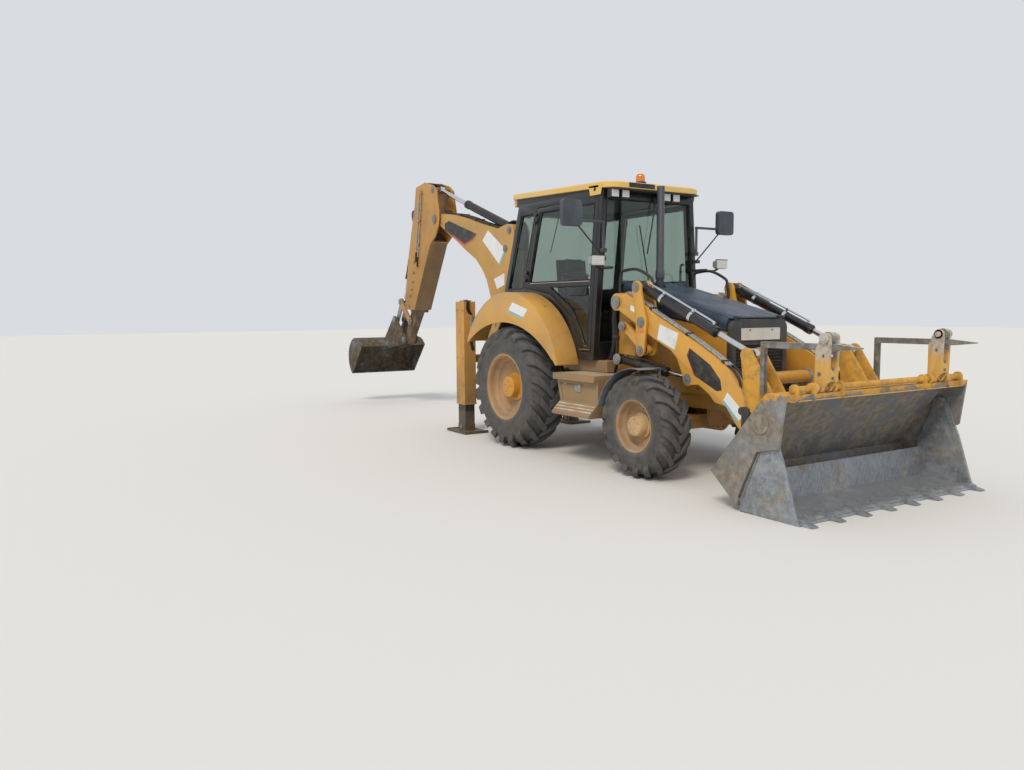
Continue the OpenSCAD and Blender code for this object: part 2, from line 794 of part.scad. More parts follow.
module loader_levers() {
  yi = -arm_y + arm_t + run_gap;
  color(yellow) shifted() both_sides() {
    slab(-arm_y - run_gap - 25, -arm_y - run_gap) lever_profile();
    slab(yi, yi + 25) lever_profile();
    pin_y(lever_arm_pin, pin_r, -arm_y - run_gap - 1, yi + 1);
    pin_y(lever_low_pin, pin_r * 0.8, -arm_y - run_gap - 1, -arm_y + 24);
    pin_y(lever_low_pin, pin_r * 0.8, yi - 30, yi + 1);
    pin_y(lever_top_pin, pin_r, -arm_y - run_gap - 1, yi + 1);
  }
}

module loader_links() {
  color(yellow) shifted() both_sides() slab(-arm_y + 30, -arm_y + arm_t - 30) difference() {
    strap(link_pin, lever_low_pin, 41, 50);
    disc_at(link_pin, pin_r * 0.8 + pin_fit);
    disc_at(lever_low_pin, pin_r * 0.8 + 4);
  }
}

lift_y = -arm_y + arm_t / 2;
lift_len = 700;
tilt_len = 1080;

module lift_cylinder_barrels() {
  color(dark) shifted() both_sides() barrel(lift_base_pin, lift_eye_pin, lift_r, lift_len, lift_y,
    28, 26);
}

module lift_cylinder_rods() {
  color(chrome) shifted() both_sides() piston_rod(lift_base_pin, lift_eye_pin, 26, 880, lift_y, 28);
}

module tilt_cylinder_bushings() {
  color(steel) shifted() both_sides() difference() {
    pin_y(lever_top_pin, pin_r + 8, lift_y - 32, lift_y + 32);
    pin_y(lever_top_pin, pin_r + pin_fit, lift_y - 40, lift_y + 40);
  }
}

module tilt_cylinder_barrels() {
  color(dark) shifted() both_sides() difference() {
    barrel(lever_top_pin, tilt_front_pin, tilt_r, tilt_len, lift_y, 28, 25);
    pin_y(lever_top_pin, pin_r + 8 + pin_fit, lift_y - 40, lift_y + 40);
  }
}

module tilt_cylinder_pistons() {
  a = atan2(lever_top_pin[0] - tilt_front_pin[0], lever_top_pin[1] - tilt_front_pin[1]);
  color(steel) shifted() both_sides() translate([tilt_front_pin[0], lift_y, tilt_front_pin[1]])
    rotate([0, a, 0]) translate([0, 0, 1117]) difference() {
      cylinder(r = tilt_r * 0.8 - seat, h = 40);
      translate([0, 0, -1]) cylinder(r = 25 + seat, h = 42);
    }
}

module tilt_cylinder_rods() {
  color(chrome) shifted() both_sides() piston_rod(lever_top_pin, tilt_front_pin, 25, 1328, lift_y, 28);
}

module bucket_hinge_pins() {
  color(steel) shifted() both_sides() pin_y(bucket_pin, pin_r, -arm_y - 40, -arm_y + arm_t + 40);
}

// The clamshell bucket: outer side plates, back, brackets and top edge
plate_t = 22;

module side_plate_profile() {
  polygon([[3928, 951], [4113, 946], [4060, 548], [3849, 499], [3669, 117], [3660, 46], [3383, 285]]);
}

module back_profile() {
  polygon([[3928, 951], [4113, 946], [4105, 900], [3960, 905], [3660, 545], [3508, 314], [3672, 96],
    [3660, 46],
    [3383, 285]]);
}

module bracket_profile() {
  difference() {
    union() {
      disc_at(tilt_front_pin, 62);
      disc_at(bucket_pin, 76);
      polygon([tilt_front_pin + [-60, 10], tilt_front_pin + [40, 50], [3722, 700], [3592, 545],
        [3432, 315],
        [3392, 290], bucket_pin + [-60, -50], bucket_pin + [-70, 30]]);
    }
    disc_at(bucket_pin, pin_r + pin_fit);
  }
}

module loader_bucket_back() {
  hw = bucket_w / 2;
  color(steel) shifted() {
    difference() {
      slab(-hw + 1, hw - 1) back_profile();
      both_sides() slab(-arm_y - run_gap, -arm_y + arm_t + run_gap)
        polygon([[3300, 150], [3300, 480], [3480, 480], [3488, 440], [3485, 150]]);
    }
    both_sides() {
      slab(-hw, -hw + plate_t) side_plate_profile();
      pin_y(clam_pin, 78, -hw - 12, -hw + 1);
      pin_y(clam_pin, pin_r, -hw, -hw + 2 * plate_t + run_gap + 10);
      for (y = [-arm_y - run_gap - 32, -arm_y + arm_t + run_gap]) {
        slab(y, y + 26) bracket_profile();
      }
      pin_y(tilt_front_pin, pin_r, -arm_y - run_gap - 10, lift_y - 34);
      pin_y(tilt_front_pin, pin_r, lift_y + 34, -arm_y + arm_t + run_gap + 1);
    }
    pin_y([4090, 985], 24, -1100, 1100);
    for (y = [-1090, -900, -560, 536, 876, 1066]) slab(y, y + 24) strap([4090, 985], [4090, 930], 40, 40);
  }
}

module clam_side_profile() {
  difference() {
    union() {
      disc_at(clam_pin, 62);
      polygon([[3835, 690], [3700, 380], [3672, 60], [3746, 4], [4242, 4], [4200, 60], [4080, 440],
        [3960, 740]]);
    }
    disc_at(clam_pin, pin_r + pin_fit);
  }
}

module clam_floor_profile() {
  polygon([[3672, 20], [3672, 4], [4180, 0], [4242, 0], [4190, 26], [3720, 40], [3708, 300], [3690, 300],
    [3672, 60]]);
}

module loader_bucket_clam() {
  hw = bucket_w / 2 - plate_t - run_gap;
  color(steel) shifted() {
    slab(-hw, hw) clam_floor_profile();
    both_sides() slab(-hw, -hw + plate_t) clam_side_profile();
    for (i = [0:tooth_n - 1]) {
      y = -hw + 60 + i * (2 * hw - 120) / (tooth_n - 1);
      slab(y - 35, y + 35) polygon([[4120, 22], [4200, 40], [4335, 8], [4335, 2], [4200, 0], [4120, 4]]);
    }
  }
}

module pallet_forks() {
  pivot = [4090, 985];
  hang = [4135, 1360];
  color(yellow) shifted() both_sides() {
    for (y = [-800, -705]) slab(y, y + 24) difference() {
      union() {
        disc_at(hang, 42);
        polygon([[4050, 1030], [4170, 1030], [4178, 1355], [4095, 1375], [4050, 1270]]);
        disc_at(pivot, 36);
        polygon([[4054, 985], [4126, 985], [4170, 1035], [4050, 1035]]);
      }
      disc_at(pivot, 24 + seat);
      disc_at([4120, 1225], 14);
    }
    pin_y(hang, 22, -820, -661);
    block([4060, -777, 1035], [4165, -704, 1130]);
    slab(-774, -739) {
      polygon([[3500, 1268], [4230, 1268], [fork_tip_x, 1288], [fork_tip_x, 1296], [4200, 1318],
        [3500, 1318]]);
      polygon([[3500, 880], [3545, 880], [3545, 1270], [3500, 1270]]);
      disc_at(hang, 48);
    }
  }
}

// Backhoe
module sideshift_carriage() {
  color(yellow) shifted() translate([0, boom_y, 0]) {
    difference() {
      union() {
        block([-1620, -250, 380], [-1500 - seat, 250, 1036]);
        block([-1620, -250, 1000 + seat], [-1440, 250, 1036]);
        block([-1620, -250, 380], [-1440, 250, 420 - seat]);
        for (z = [480, 800]) slab_z(z, 40) strap([swing_x, 0], [-1620, 0], 70, 110);
      }
      translate([swing_x, 0, 470]) cylinder(r = 40 + pin_fit, h = 400);
    }
  }
}

module swing_post() {
  color(yellow) shifted() translate([0, boom_y, 0]) {
    pin_z(swing_x, 0, 475, 845, 40);
    difference() {
      union() {
        slab_z(526, 268) strap([swing_x, 0], [-1900, 0], 75, 88);
        slab(-95, 95) polygon([[-2005, 640], [-2005, 800], [-1960, 890], [-1905, 935], [-1690, 1158],
          [-1600, 1205], [-1550, 1190], [-1540, 1140], [-1560, 1075], [-1700, 1058], [-1875, 855],
          [-1875, 640]]);
      }
      slab(-68, 68) polygon([[-1760, 1045], [-1760, 1400], [-1400, 1400], [-1400, 1000]]);
    }
    pin_y(foot_pin, pin_r, -boom_hw - 12, boom_hw + 12);
    pin_y(boom_cyl_base, pin_r, -94, 94);
  }
}

module boom_profile() {
  difference() {
    union() {
      disc_at(foot_pin, 78);
      disc_at(stick_pin, 85);
      polygon([[-2028, 700], [-1980, 900], [-1780, 1180], [-1630, 1420], [-1582, 1590], [-1650, 1794],
        [-1742, 2004], [-1862, 2155], [-2033, 2299], [-2314, 2441], [-2578, 2586], [-2936, 2770],
          [-3100, 2860],
        stick_pin + [-60, -60], stick_pin + [-30, 80], [-3015, 3027], [-2705, 2983], [-2303, 2893],
        [-1923, 2783], [-1586, 2704], [-1470, 2671], [-1200, 2715], [-1080, 2700], [-1030, 2620],
          [-1060, 2300],
        [-1120, 2000], [-1210, 1700], [-1400, 1400], [-1690, 1060], [-1800, 930], [-1905, 855],
          [-1915, 700]]);
    }
    disc_at(foot_pin, pin_r + pin_fit);
    disc_at(stick_pin, pin_r + pin_fit);
  }
}

// The space between the boom's side plates
module boom_hollow() {
  polygon([[-2100, 600], [-2100, 850], [-1945, 940], [-1770, 1190], [-1690, 1400], [-1660, 1600],
    [-1640, 1780],
    [-1642, 1950], [-1612, 2300], [-1400, 2500], [-900, 2500], [-900, 600]]);
}

module boom() {
  color(yellow) shifted() translate([0, boom_y, 0]) {
    difference() {
      slab(-boom_hw, boom_hw) boom_profile();
      slab(-boom_hw + 20, boom_hw - 20) boom_hollow();
      slab(-62, 62) polygon([[-1490, 2480], [-1490, 2800], [-900, 2800], [-900, 2480]]);
    }
    pin_y(boom_cyl_eye, pin_r, -boom_hw + 1, -40);
    pin_y(boom_cyl_eye, pin_r, 40, boom_hw - 1);
    pin_y(stick_cyl_base, pin_r, -boom_hw + 1, boom_hw - 1);
  }
}

module boom_cylinder_barrel() {
  color(dark) shifted() barrel(boom_cyl_base, boom_cyl_eye, 51, 1080, boom_y, 34, 32);
}

module boom_cylinder_rod() {
  color(chrome) shifted() piston_rod(boom_cyl_base, boom_cyl_eye, 32, 1000, boom_y, 34);
}

module stick_cylinder_barrel() {
  color(dark) shifted() barrel(stick_cyl_base, stick_cyl_eye, 55, 1400, boom_y, 34, 30);
}

module stick_cylinder_rod() {
  color(chrome) shifted() piston_rod(stick_cyl_base, stick_cyl_eye, 30, 1400, boom_y, 34);
}

// A point on the stick's own axes: a along the extension, b towards the rear
function on_stick(a, b) = stick_front + a * ext_dir + b * ext_perp;

module stick_profile() {
  disc_at(stick_pin, 150);
  polygon([[-3275, 3479], [-3144, 3390], [-3119, 3260], [-3070, 3070], [-3095, 2880], [-3211, 2713],
    [-3395, 2605], [-3989, 1599], [-4327, 1612], [-4277, 1990], [-4171, 2474], [-4055, 2835],
    [-3925, 3216], [-3864, 3514], [-3546, 3555]]);
}

module stick() {
  color(yellow) shifted() translate([0, boom_y, 0]) {
    difference() {
      slab(-stick_hw, stick_hw) stick_profile();
      slab(-boom_hw - 8, boom_hw + 8) polygon([on_stick(1230, -300), on_stick(1230, 275), [-3870, 3150],
        [-3760, 3420], [-3560, 3460], [-3540, 3700], [-2800, 3700], [-2800, 2600]]);
      slab(-boom_hw - 6, boom_hw + 6)
        polygon([on_stick(-300, 14), on_stick(1300, 14), on_stick(1300, 266),
        on_stick(-300, 266)]);
      slab(-86, 86) polygon([on_stick(-300, 200), on_stick(1900, 200), on_stick(1900, 900),
        on_stick(-300, 900)]);
    }
    pin_y(stick_pin, pin_r, -stick_hw - 10, stick_hw + 10);
    pin_y(stick_cyl_eye, pin_r, -stick_hw + 1, -40);
    pin_y(stick_cyl_eye, pin_r, 40, stick_hw - 1);
  }
}

module stick_extension() {
  color(dark) shifted() translate([0, boom_y, 0]) {
    difference() {
      union() {
        slab(-boom_hw, boom_hw) polygon([on_stick(-60, 20), on_stick(1240, 20), on_stick(1240, 260),
          on_stick(-60, 260)]);
        slab(-boom_hw - 6 + seat, boom_hw + 6 - seat)
          polygon([on_stick(1120, 14 + seat), on_stick(1230, 14 + seat),
          on_stick(1230, 266 - seat), on_stick(1120, 266 - seat)]);
        slab(-60, 60) union() {
          disc_at(dig_pin, 70);
          disc_at(rocker_pin, 60);
          polygon([on_stick(-59, 30), on_stick(-59, 250), dig_pin + [-66, 20], dig_pin + [62, -30]]);
        }
        slab(-80, 80) union() {
          disc_at(dig_cyl_base, 75);
          polygon([on_stick(700, 250), on_stick(1150, 250), dig_cyl_base + [60, 50],
            dig_cyl_base + [-60, -50]]);
        }
      }
      pin_y(dig_pin, pin_r + pin_fit, -200, 200);
      pin_y(rocker_pin, pin_r + pin_fit, -200, 200);
      pin_y(dig_cyl_base, 100, -56, 56);
      slab(-56, 56) polygon([dig_cyl_base + [-100, 0], dig_cyl_base + [90, 0], dig_cyl_base + [-40, -300],
        dig_cyl_base + [-300, -300]]);
    }
    pin_y(dig_cyl_base, pin_r, -79, 79);
  }
}

module bucket_cylinder_barrel() {
  color(dark) shifted() barrel(dig_cyl_base, link_top_pin, 48, 1080, boom_y, 30, 26);
}

module bucket_cylinder_rod() {
  color(chrome) shifted() piston_rod(dig_cyl_base, link_top_pin, 26, 1140, boom_y, 28);
}

module bucket_rocker() {
  color(yellow) shifted() translate([0, boom_y, 0]) {
    for (y = [-86, 66]) slab(y, y + 20) strap(rocker_pin, link_top_pin, 58, 55);
    pin_y(rocker_pin, pin_r, -87, 87);
    pin_y(link_top_pin, pin_r, -87, -34);
    pin_y(link_top_pin, pin_r, 34, 87);
  }
}

module bucket_link() {
  color(steel) shifted() translate([0, boom_y, 0]) for (y = [-58, 38]) slab(y, y + 20) difference() {
    strap(link_top_pin, link_low_pin, 56, 52);
    disc_at(link_top_pin, pin_r + pin_fit);
    disc_at(link_low_pin, pin_r + 2);
  }
}

module dig_section() {
  difference() {
    translate(dig_c) circle(dig_r, $fn = 96);
    translate(dig_c) circle(dig_r - 16, $fn = 96);
    translate(dig_c) polygon([[60, -900], [1000, -900], [1000, 900], [60, 900]]);
  }
}

module dig_side() {
  difference() {
    translate(dig_c) circle(dig_r, $fn = 96);
    translate(dig_c) polygon([[62, -900], [1000, -900], [1000, 900], [62, 900]]);
  }
}

module dig_ears() {
  q = norm(rocker_arm);
  disc_at([0, 0], 70);
  disc_at([-q, 0], 62);
  polygon([[50, -50], [20, 66], [-q, 62], [-q - 62, 0], [-q - 90, -540], [-q + 60, -540],
    [-q + 120, -560]]);
}

module digging_bucket() {
  hw = dig_w / 2;
  q = norm(rocker_arm);
  color(steel) shifted() translate([dig_pin[0], boom_y, dig_pin[1]]) rotate([0, -dig_tilt, 0]) {
    slab(-hw + 1, hw - 1) dig_section();
    for (y = [-hw, hw - 14]) slab(y, y + 14) dig_side();
    for (y = [-121, 96]) slab(y, y + 25) dig_ears();
    pin_y([0, 0], pin_r, -122, 122);
    pin_y([-q, 0], pin_r, -122, -36);
    pin_y([-q, 0], pin_r, 36, 122);
  }
}

chassis_frame();
engine_block();
radiator_grille();
rear_axle();
front_axle();
step_boxes();
rear_fenders();
cab_frame();
cab_floor();
cab_roof();
cab_glass();
operator_seat();
exhaust_stack();
mirrors();
lamps();
sideshift_frame();
hood();
door(-1);  // door_right
door_glass(-1);  // door_glass_right
door(1);  // door_left
door_glass(1);  // door_glass_left
rear_wheel(-1);  // rear_wheel_right
rear_wheel(1);  // rear_wheel_left
front_wheel(-1);  // front_wheel_right
front_wheel(1);  // front_wheel_left
knuckle(-1);  // knuckle_right
knuckle(1);  // knuckle_left
steering_rod();
loader_arms();
loader_levers();
loader_links();
lift_cylinder_barrels();
lift_cylinder_rods();
tilt_cylinder_barrels();
tilt_cylinder_pistons();
tilt_cylinder_rods();
tilt_cylinder_bushings();
bucket_hinge_pins();
loader_bucket_back();
loader_bucket_clam();
pallet_forks();
sideshift_carriage();
swing_post();
boom();
boom_cylinder_barrel();
boom_cylinder_rod();
stick();
stick_extension();
stick_cylinder_barrel();
stick_cylinder_rod();
bucket_cylinder_barrel();
bucket_cylinder_rod();
bucket_rocker();
bucket_link();
digging_bucket();
stabilizer(-1);  // stabilizer_right
stabilizer(1);  // stabilizer_left
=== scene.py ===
"""Looks of a wheeled backhoe loader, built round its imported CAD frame.

Every piece is drawn in millimetres in the rear axle's frame: X forward from the rear axle, Y to the left
and Z up from the ground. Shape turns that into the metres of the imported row.
"""

import logging
import math
from dataclasses import dataclass, field
from enum import Enum
from typing import Any, Optional, Sequence

import bmesh
import bpy
from mathutils import Matrix, Vector


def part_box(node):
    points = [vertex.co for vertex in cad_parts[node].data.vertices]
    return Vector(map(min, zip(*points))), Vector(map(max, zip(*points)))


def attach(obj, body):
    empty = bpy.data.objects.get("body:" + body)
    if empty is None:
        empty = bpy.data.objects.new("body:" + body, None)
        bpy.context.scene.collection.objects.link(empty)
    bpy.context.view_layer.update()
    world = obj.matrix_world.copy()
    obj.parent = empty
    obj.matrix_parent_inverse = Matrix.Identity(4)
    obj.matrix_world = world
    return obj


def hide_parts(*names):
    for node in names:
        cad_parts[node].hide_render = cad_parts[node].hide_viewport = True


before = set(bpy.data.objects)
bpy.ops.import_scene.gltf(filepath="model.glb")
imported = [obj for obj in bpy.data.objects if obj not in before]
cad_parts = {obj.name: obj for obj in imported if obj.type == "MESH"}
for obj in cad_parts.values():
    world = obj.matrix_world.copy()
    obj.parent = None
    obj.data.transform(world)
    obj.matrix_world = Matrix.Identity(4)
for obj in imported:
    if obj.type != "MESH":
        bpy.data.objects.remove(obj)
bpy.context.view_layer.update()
LOG = logging.getLogger("backhoe_loader")

Point = tuple[float, float, float]
Flat = tuple[float, float]

MM = 0.001
_wheel_low, _wheel_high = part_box("rear_wheel_right")
AXLE_X = (_wheel_low.x + _wheel_high.x) / 2
BOOM_Y = -150.0
CYLINDER_Y = 640.0
SIDES = (-1, 1)


def spot(x: float, y: float, z: float) -> Vector:
    """A point in millimetres from the rear axle, as metres in the row's frame."""
    return Vector((x * MM + AXLE_X, y * MM, z * MM))


def linear(code: str) -> tuple[float, float, float, float]:
    """Turns an sRGB hex colour into linear light.

    Args:
        code: six hex digits after a hash sign.

    Returns:
        Linear red, green and blue with a full alpha.
    """
    parts = [int(code[i:i + 2], 16) / 255 for i in (1, 3, 5)]
    light = [c / 12.92 if c <= 0.04045 else ((c + 0.055) / 1.055) ** 2.4 for c in parts]
    return (light[0], light[1], light[2], 1.0)


def per_metre(size_mm: float) -> float:
    """The texture scale at which one feature is size_mm across."""
    return 1000.0 / size_mm


def add(tree: bpy.types.NodeTree, kind: str, settings: Optional[dict[str, Any]] = None,
        links: Optional[dict[Any, Any]] = None) -> bpy.types.Node:
    """Adds one shader node.

    Args:
        tree: the material's node tree.
        kind: Blender's type name of the node.
        settings: properties, or input sockets by name or number, with their values.
        links: input sockets by name or number, with the output that feeds each.

    Returns:
        The new node.
    """
    node = tree.nodes.new(kind)
    for key, value in (settings or {}).items():
        if isinstance(key, int) or key in node.inputs:
            node.inputs[key].default_value = value
        else:
            setattr(node, key, value)
    for key, source in (links or {}).items():
        tree.links.new(source, node.inputs[key])
    return node


class Wear(Enum):
    """How hard a finish has been used."""
    CLEAN = 0.25
    DUSTY = 0.6
    MUDDY = 1.0


@dataclass(frozen=True)
class Finish:
    """What every finish shares: a name, a record slot and a way to make its material."""
    name: str
    slot: str

    def shade(self, tree: bpy.types.NodeTree, shader: bpy.types.Node) -> None:
        """Fills the shader's sockets; each finish has its own."""
        raise NotImplementedError

    def material(self) -> bpy.types.Material:
        """Makes the material once and returns it from then on."""
        made = bpy.data.materials.get(self.name)
        if made:
            return made
        made = bpy.data.materials.new(self.name)
        made.use_nodes = True
        tree = made.node_tree
        tree.nodes.clear()
        shader = add(tree, "ShaderNodeBsdfPrincipled")
        add(tree, "ShaderNodeOutputMaterial", links={"Surface": shader.outputs[0]})
        self.shade(tree, shader)
        return made


def noise(tree: bpy.types.NodeTree, size_mm: float, detail: float = 4.0, rough: float = 0.6,
          stretch: Optional[Vector] = None) -> Any:
    """Noise in object space with features of a real size.

    Args:
        tree: the material's node tree.
        size_mm: how wide one blot is.
        detail: octaves of finer noise.
        rough: how strong the finer octaves are.
        stretch: scale of each axis, such as a small Z for streaks that run down.

    Returns:
        The noise's factor output.
    """
    place = add(tree, "ShaderNodeTexCoord").outputs["Object"]
    if stretch is not None:
        place = add(tree, "ShaderNodeMapping", {"Scale": stretch}, {"Vector": place}).outputs[0]
    return add(tree, "ShaderNodeTexNoise", {"Scale": per_metre(size_mm), "Detail": detail,
                                            "Roughness": rough}, {"Vector": place}).outputs["Fac"]


def vector_maths(tree: bpy.types.NodeTree, how: str, a: Any, b: Optional[Vector] = None) -> bpy.types.Node:
    """A Vector Math node fed by an output, with a constant as its second value."""
    return add(tree, "ShaderNodeVectorMath", {"operation": how} if b is None else {"operation": how, 1: b},
               {0: a})


def from_middle(tree: bpy.types.NodeTree) -> Any:
    """How far a point is from the machine's middle plane, in metres."""
    return add(tree, "ShaderNodeMath", {"operation": "ABSOLUTE"}, {0: object_axis(tree, "Y")}).outputs[0]


def ragged_height(tree: bpy.types.NodeTree, blot_mm: float, reach: float) -> Any:
    """The height of a point with a ragged edge of up to reach metres either way."""
    ragged = ramp(tree, noise(tree, blot_mm, 8, 0.75), 0.3, 0.7, -reach, reach)
    height = object_axis(tree, "Z")
    return add(tree, "ShaderNodeMath", {"operation": "ADD"}, {0: height, 1: ragged}).outputs[0]


def ramp(tree: bpy.types.NodeTree, value: Any, low: float, high: float, to_low: float = 0.0,
         to_high: float = 1.0) -> Any:
    """Maps low..high smoothly onto to_low..to_high and returns the output."""
    return add(tree, "ShaderNodeMapRange", {"interpolation_type": "SMOOTHSTEP", "From Min": low,
                                            "From Max": high, "To Min": to_low, "To Max": to_high},
               {"Value": value}).outputs[0]


def maths(tree: bpy.types.NodeTree, how: str, a: Any, b: Any) -> Any:
    """Joins two values, numbers or outputs, by one of the Math node's operations, clamped to 0..1."""
    settings: dict[Any, Any] = {"operation": how, "use_clamp": True}
    links: dict[Any, Any] = {}
    for i, side in enumerate((a, b)):
        if isinstance(side, (int, float)):
            settings[i] = float(side)
        else:
            links[i] = side
    return add(tree, "ShaderNodeMath", settings, links).outputs[0]


def mix(tree: bpy.types.NodeTree, share: Any, under: Any, over: Any) -> Any:
    """Lays one colour over another by a share from 0 to 1; colours are hex codes or outputs."""
    node = add(tree, "ShaderNodeMix", {"data_type": "RGBA"})
    for socket, colour in ((6, under), (7, over)):
        if isinstance(colour, str):
            node.inputs[socket].default_value = linear(colour)
        else:
            tree.links.new(colour, node.inputs[socket])
    tree.links.new(share, node.inputs[0])
    return node.outputs[2]


def object_axis(tree: bpy.types.NodeTree, axis: str, what: str = "Object") -> Any:
    """One axis of the point, or of the normal, in object space."""
    source = add(tree, "ShaderNodeTexCoord").outputs[what]
    return add(tree, "ShaderNodeSeparateXYZ", links={0: source}).outputs[axis]


def dirt_share(tree: bpy.types.NodeTree, wear: Wear, top_mm: float) -> Any:
    """How much dust covers a point: more low down, more on level faces, in blots and runs.

    Args:
        tree: the material's node tree.
        wear: how dirty the finish is.
        top_mm: the height above which only a little dust stays.

    Returns:
        The share of dust, 0 to 1.
    """
    low = ramp(tree, object_axis(tree, "Z"), top_mm * MM, 0.25, 0.0, 0.62)
    level = ramp(tree, object_axis(tree, "Z", "Normal"), 0.45, 0.95, 0.0, 0.32)
    blots = ramp(tree, noise(tree, 420, 7, 0.62), 0.34, 0.72, -0.18, 0.42)
    runs = ramp(tree, noise(tree, 55, 5, 0.6, Vector((1, 1, 0.12))), 0.42, 0.75, 0.0, 0.3)
    sum_one = maths(tree, "ADD", low, level)
    sum_two = maths(tree, "ADD", sum_one, blots)
    return maths(tree, "MULTIPLY", maths(tree, "ADD", sum_two, runs), wear.value)


def fill(tree: bpy.types.NodeTree, shader: bpy.types.Node, **sockets: Any) -> None:
    """Sets or feeds the shader's sockets, whose names are written with underscores.

    Args:
        tree: the material's node tree.
        shader: its Principled shader.
        sockets: a number, a hex colour or an output for each socket.
    """
    for key, value in sockets.items():
        socket = shader.inputs[key.replace("_", " ")]
        if isinstance(value, (int, float)):
            socket.default_value = value
        elif isinstance(value, str):
            socket.default_value = linear(value)
        else:
            tree.links.new(value, socket)


def bump(tree: bpy.types.NodeTree, height: Any, depth_mm: float, strength: float = 0.6) -> Any:
    """A bump of a real depth from a height between 0 and 1."""
    return add(tree, "ShaderNodeBump", {"Strength": strength, "Distance": depth_mm * MM},
               {"Height": height}).outputs[0]


@dataclass(frozen=True)
class SprayedEnamel(Finish):
    """Two-pack enamel sprayed on steel plate: a soft gloss that shows through a veil of dust, with
    chips down to grey primer where plates get knocked."""
    paint: str = "#d89a2b"
    shade_paint: str = "#c58a24"
    dust: str = "#b79a72"
    wear: Wear = Wear.DUSTY
    top_mm: float = 1500.0
    gloss: float = 0.34
    chips: float = 0.5
    # A dark brown for faces that look forward: painted shade, not wear.
    front_shade: str = ""

    def shade(self, tree: bpy.types.NodeTree, shader: bpy.types.Node) -> None:
        """Paint, then faded patches, a painted shade on faces that look forward where a front colour is
        given, chips and dust.
        """
        faded = ramp(tree, noise(tree, 900, 3, 0.5), 0.35, 0.7)
        colour = mix(tree, faded, self.paint, self.shade_paint)
        # Faces that look forward get a mottled dark brown: painted shade for the shadow on the stick's front
        # face.
        if self.front_shade:
            facing = ramp(tree, object_axis(tree, "X", "Normal"), 0.5, 0.7, 0.0, 0.9)
            shaded_front = mix(tree, ramp(tree, noise(tree, 130, 8, 0.7), 0.35, 0.66), self.front_shade, "#6f5532")
            colour = mix(tree, facing, colour, shaded_front)
        specks = ramp(tree, noise(tree, 22, 9, 0.75), 0.685 - 0.02 * self.chips, 0.72)
        specks = maths(tree, "MULTIPLY", specks, self.chips)
        colour = mix(tree, specks, colour, "#6d5f4c")
        dirt = dirt_share(tree, self.wear, self.top_mm)
        grain = ramp(tree, noise(tree, 9, 8, 0.7), 0.35, 0.65, 0.75, 1.0)
        dirt = maths(tree, "MULTIPLY", dirt, grain)
        tone = ramp(tree, noise(tree, 160, 5, 0.6), 0.35, 0.65)
        fill(tree, shader, Base_Color=mix(tree, dirt, colour, mix(tree, tone, self.dust, "#8d7355")),
             Roughness=ramp(tree, dirt, 0.0, 0.8, self.gloss, 0.86), IOR=1.5, Coat_Weight=0.15,
             Coat_Roughness=0.3, Normal=bump(tree, noise(tree, 14, 6, 0.6), 0.8, 0.25))


@dataclass(frozen=True)
class ScouredSteel(Finish):
    """Bare bucket plate scoured by soil: blue-grey steel drawn out along the digging direction, with
    brown earth left in blots and yellow paint only where nothing rubs."""
    steel: str = "#7b7f84"
    earth: str = "#6f6558"
    dust: str = "#938a7c"
    earthy: float = 0.45
    paint_above_mm: float = 0.0
    paint_behind: bool = False
    grain_axis: Vector = field(default_factory=lambda: Vector((0.25, 1, 0.25)))

    def shade(self, tree: bpy.types.NodeTree, shader: bpy.types.Node) -> None:
        """Steel and its scratches, earth over it, and paint that is left on top of or behind it."""
        scratch = noise(tree, 11, 8, 0.7, self.grain_axis)
        steel = mix(tree, ramp(tree, scratch, 0.3, 0.72), "#777b80", self.steel)
        bright = ramp(tree, noise(tree, 240, 4, 0.5), 0.5, 0.78, 0.0, 0.45)
        steel = mix(tree, bright, steel, "#b4b8bc")
        blots = ramp(tree, noise(tree, 330, 9, 0.72), 0.64 - 0.34 * self.earthy, 0.72 - 0.2 * self.earthy)
        colour = mix(tree, blots, steel, mix(tree, ramp(tree, noise(tree, 60, 6), 0.35, 0.7),
                                             self.earth, self.dust))
        metal = ramp(tree, blots, 0.0, 1.0, 0.4, 0.0)
        rough = ramp(tree, blots, 0.0, 1.0, 0.46, 0.92)
        if self.paint_above_mm:
            start = self.paint_above_mm * MM
            painted = ramp(tree, ragged_height(tree, 170, 0.055), start, start + 0.03)
            if self.paint_behind:
                painted = maths(tree, "MAXIMUM", painted, self._behind(tree))
            old = mix(tree, ramp(tree, noise(tree, 75, 8, 0.7), 0.38, 0.66), "#d29c38", "#a98447")
            colour = mix(tree, painted, colour, old)
            metal = maths(tree, "MULTIPLY", metal, maths(tree, "SUBTRACT", 1.0, painted))
            rough = maths(tree, "MAXIMUM", rough, maths(tree, "MULTIPLY", painted, 0.6))
        fill(tree, shader, Base_Color=colour, Metallic=metal, Roughness=rough,
             Normal=bump(tree, noise(tree, 18, 9, 0.75), 2.0, 0.5))

    def _behind(self, tree: bpy.types.NodeTree) -> Any:
        """The share of paint behind the line of the bucket's back plate, drawn in X and Z."""
        low, high = spot(3440, 0, 300), spot(3960, 0, 905)
        across = Vector((-(high.z - low.z), 0, high.x - low.x)).normalized()
        place = add(tree, "ShaderNodeTexCoord").outputs["Object"]
        away = vector_maths(tree, "SUBTRACT", place, low)
        reach = vector_maths(tree, "DOT_PRODUCT", away.outputs[0], across).outputs["Value"]
        return maths(tree, "MULTIPLY", ramp(tree, reach, 0.006, 0.012),
                     maths(tree, "LESS_THAN", from_middle(tree), 1.165))


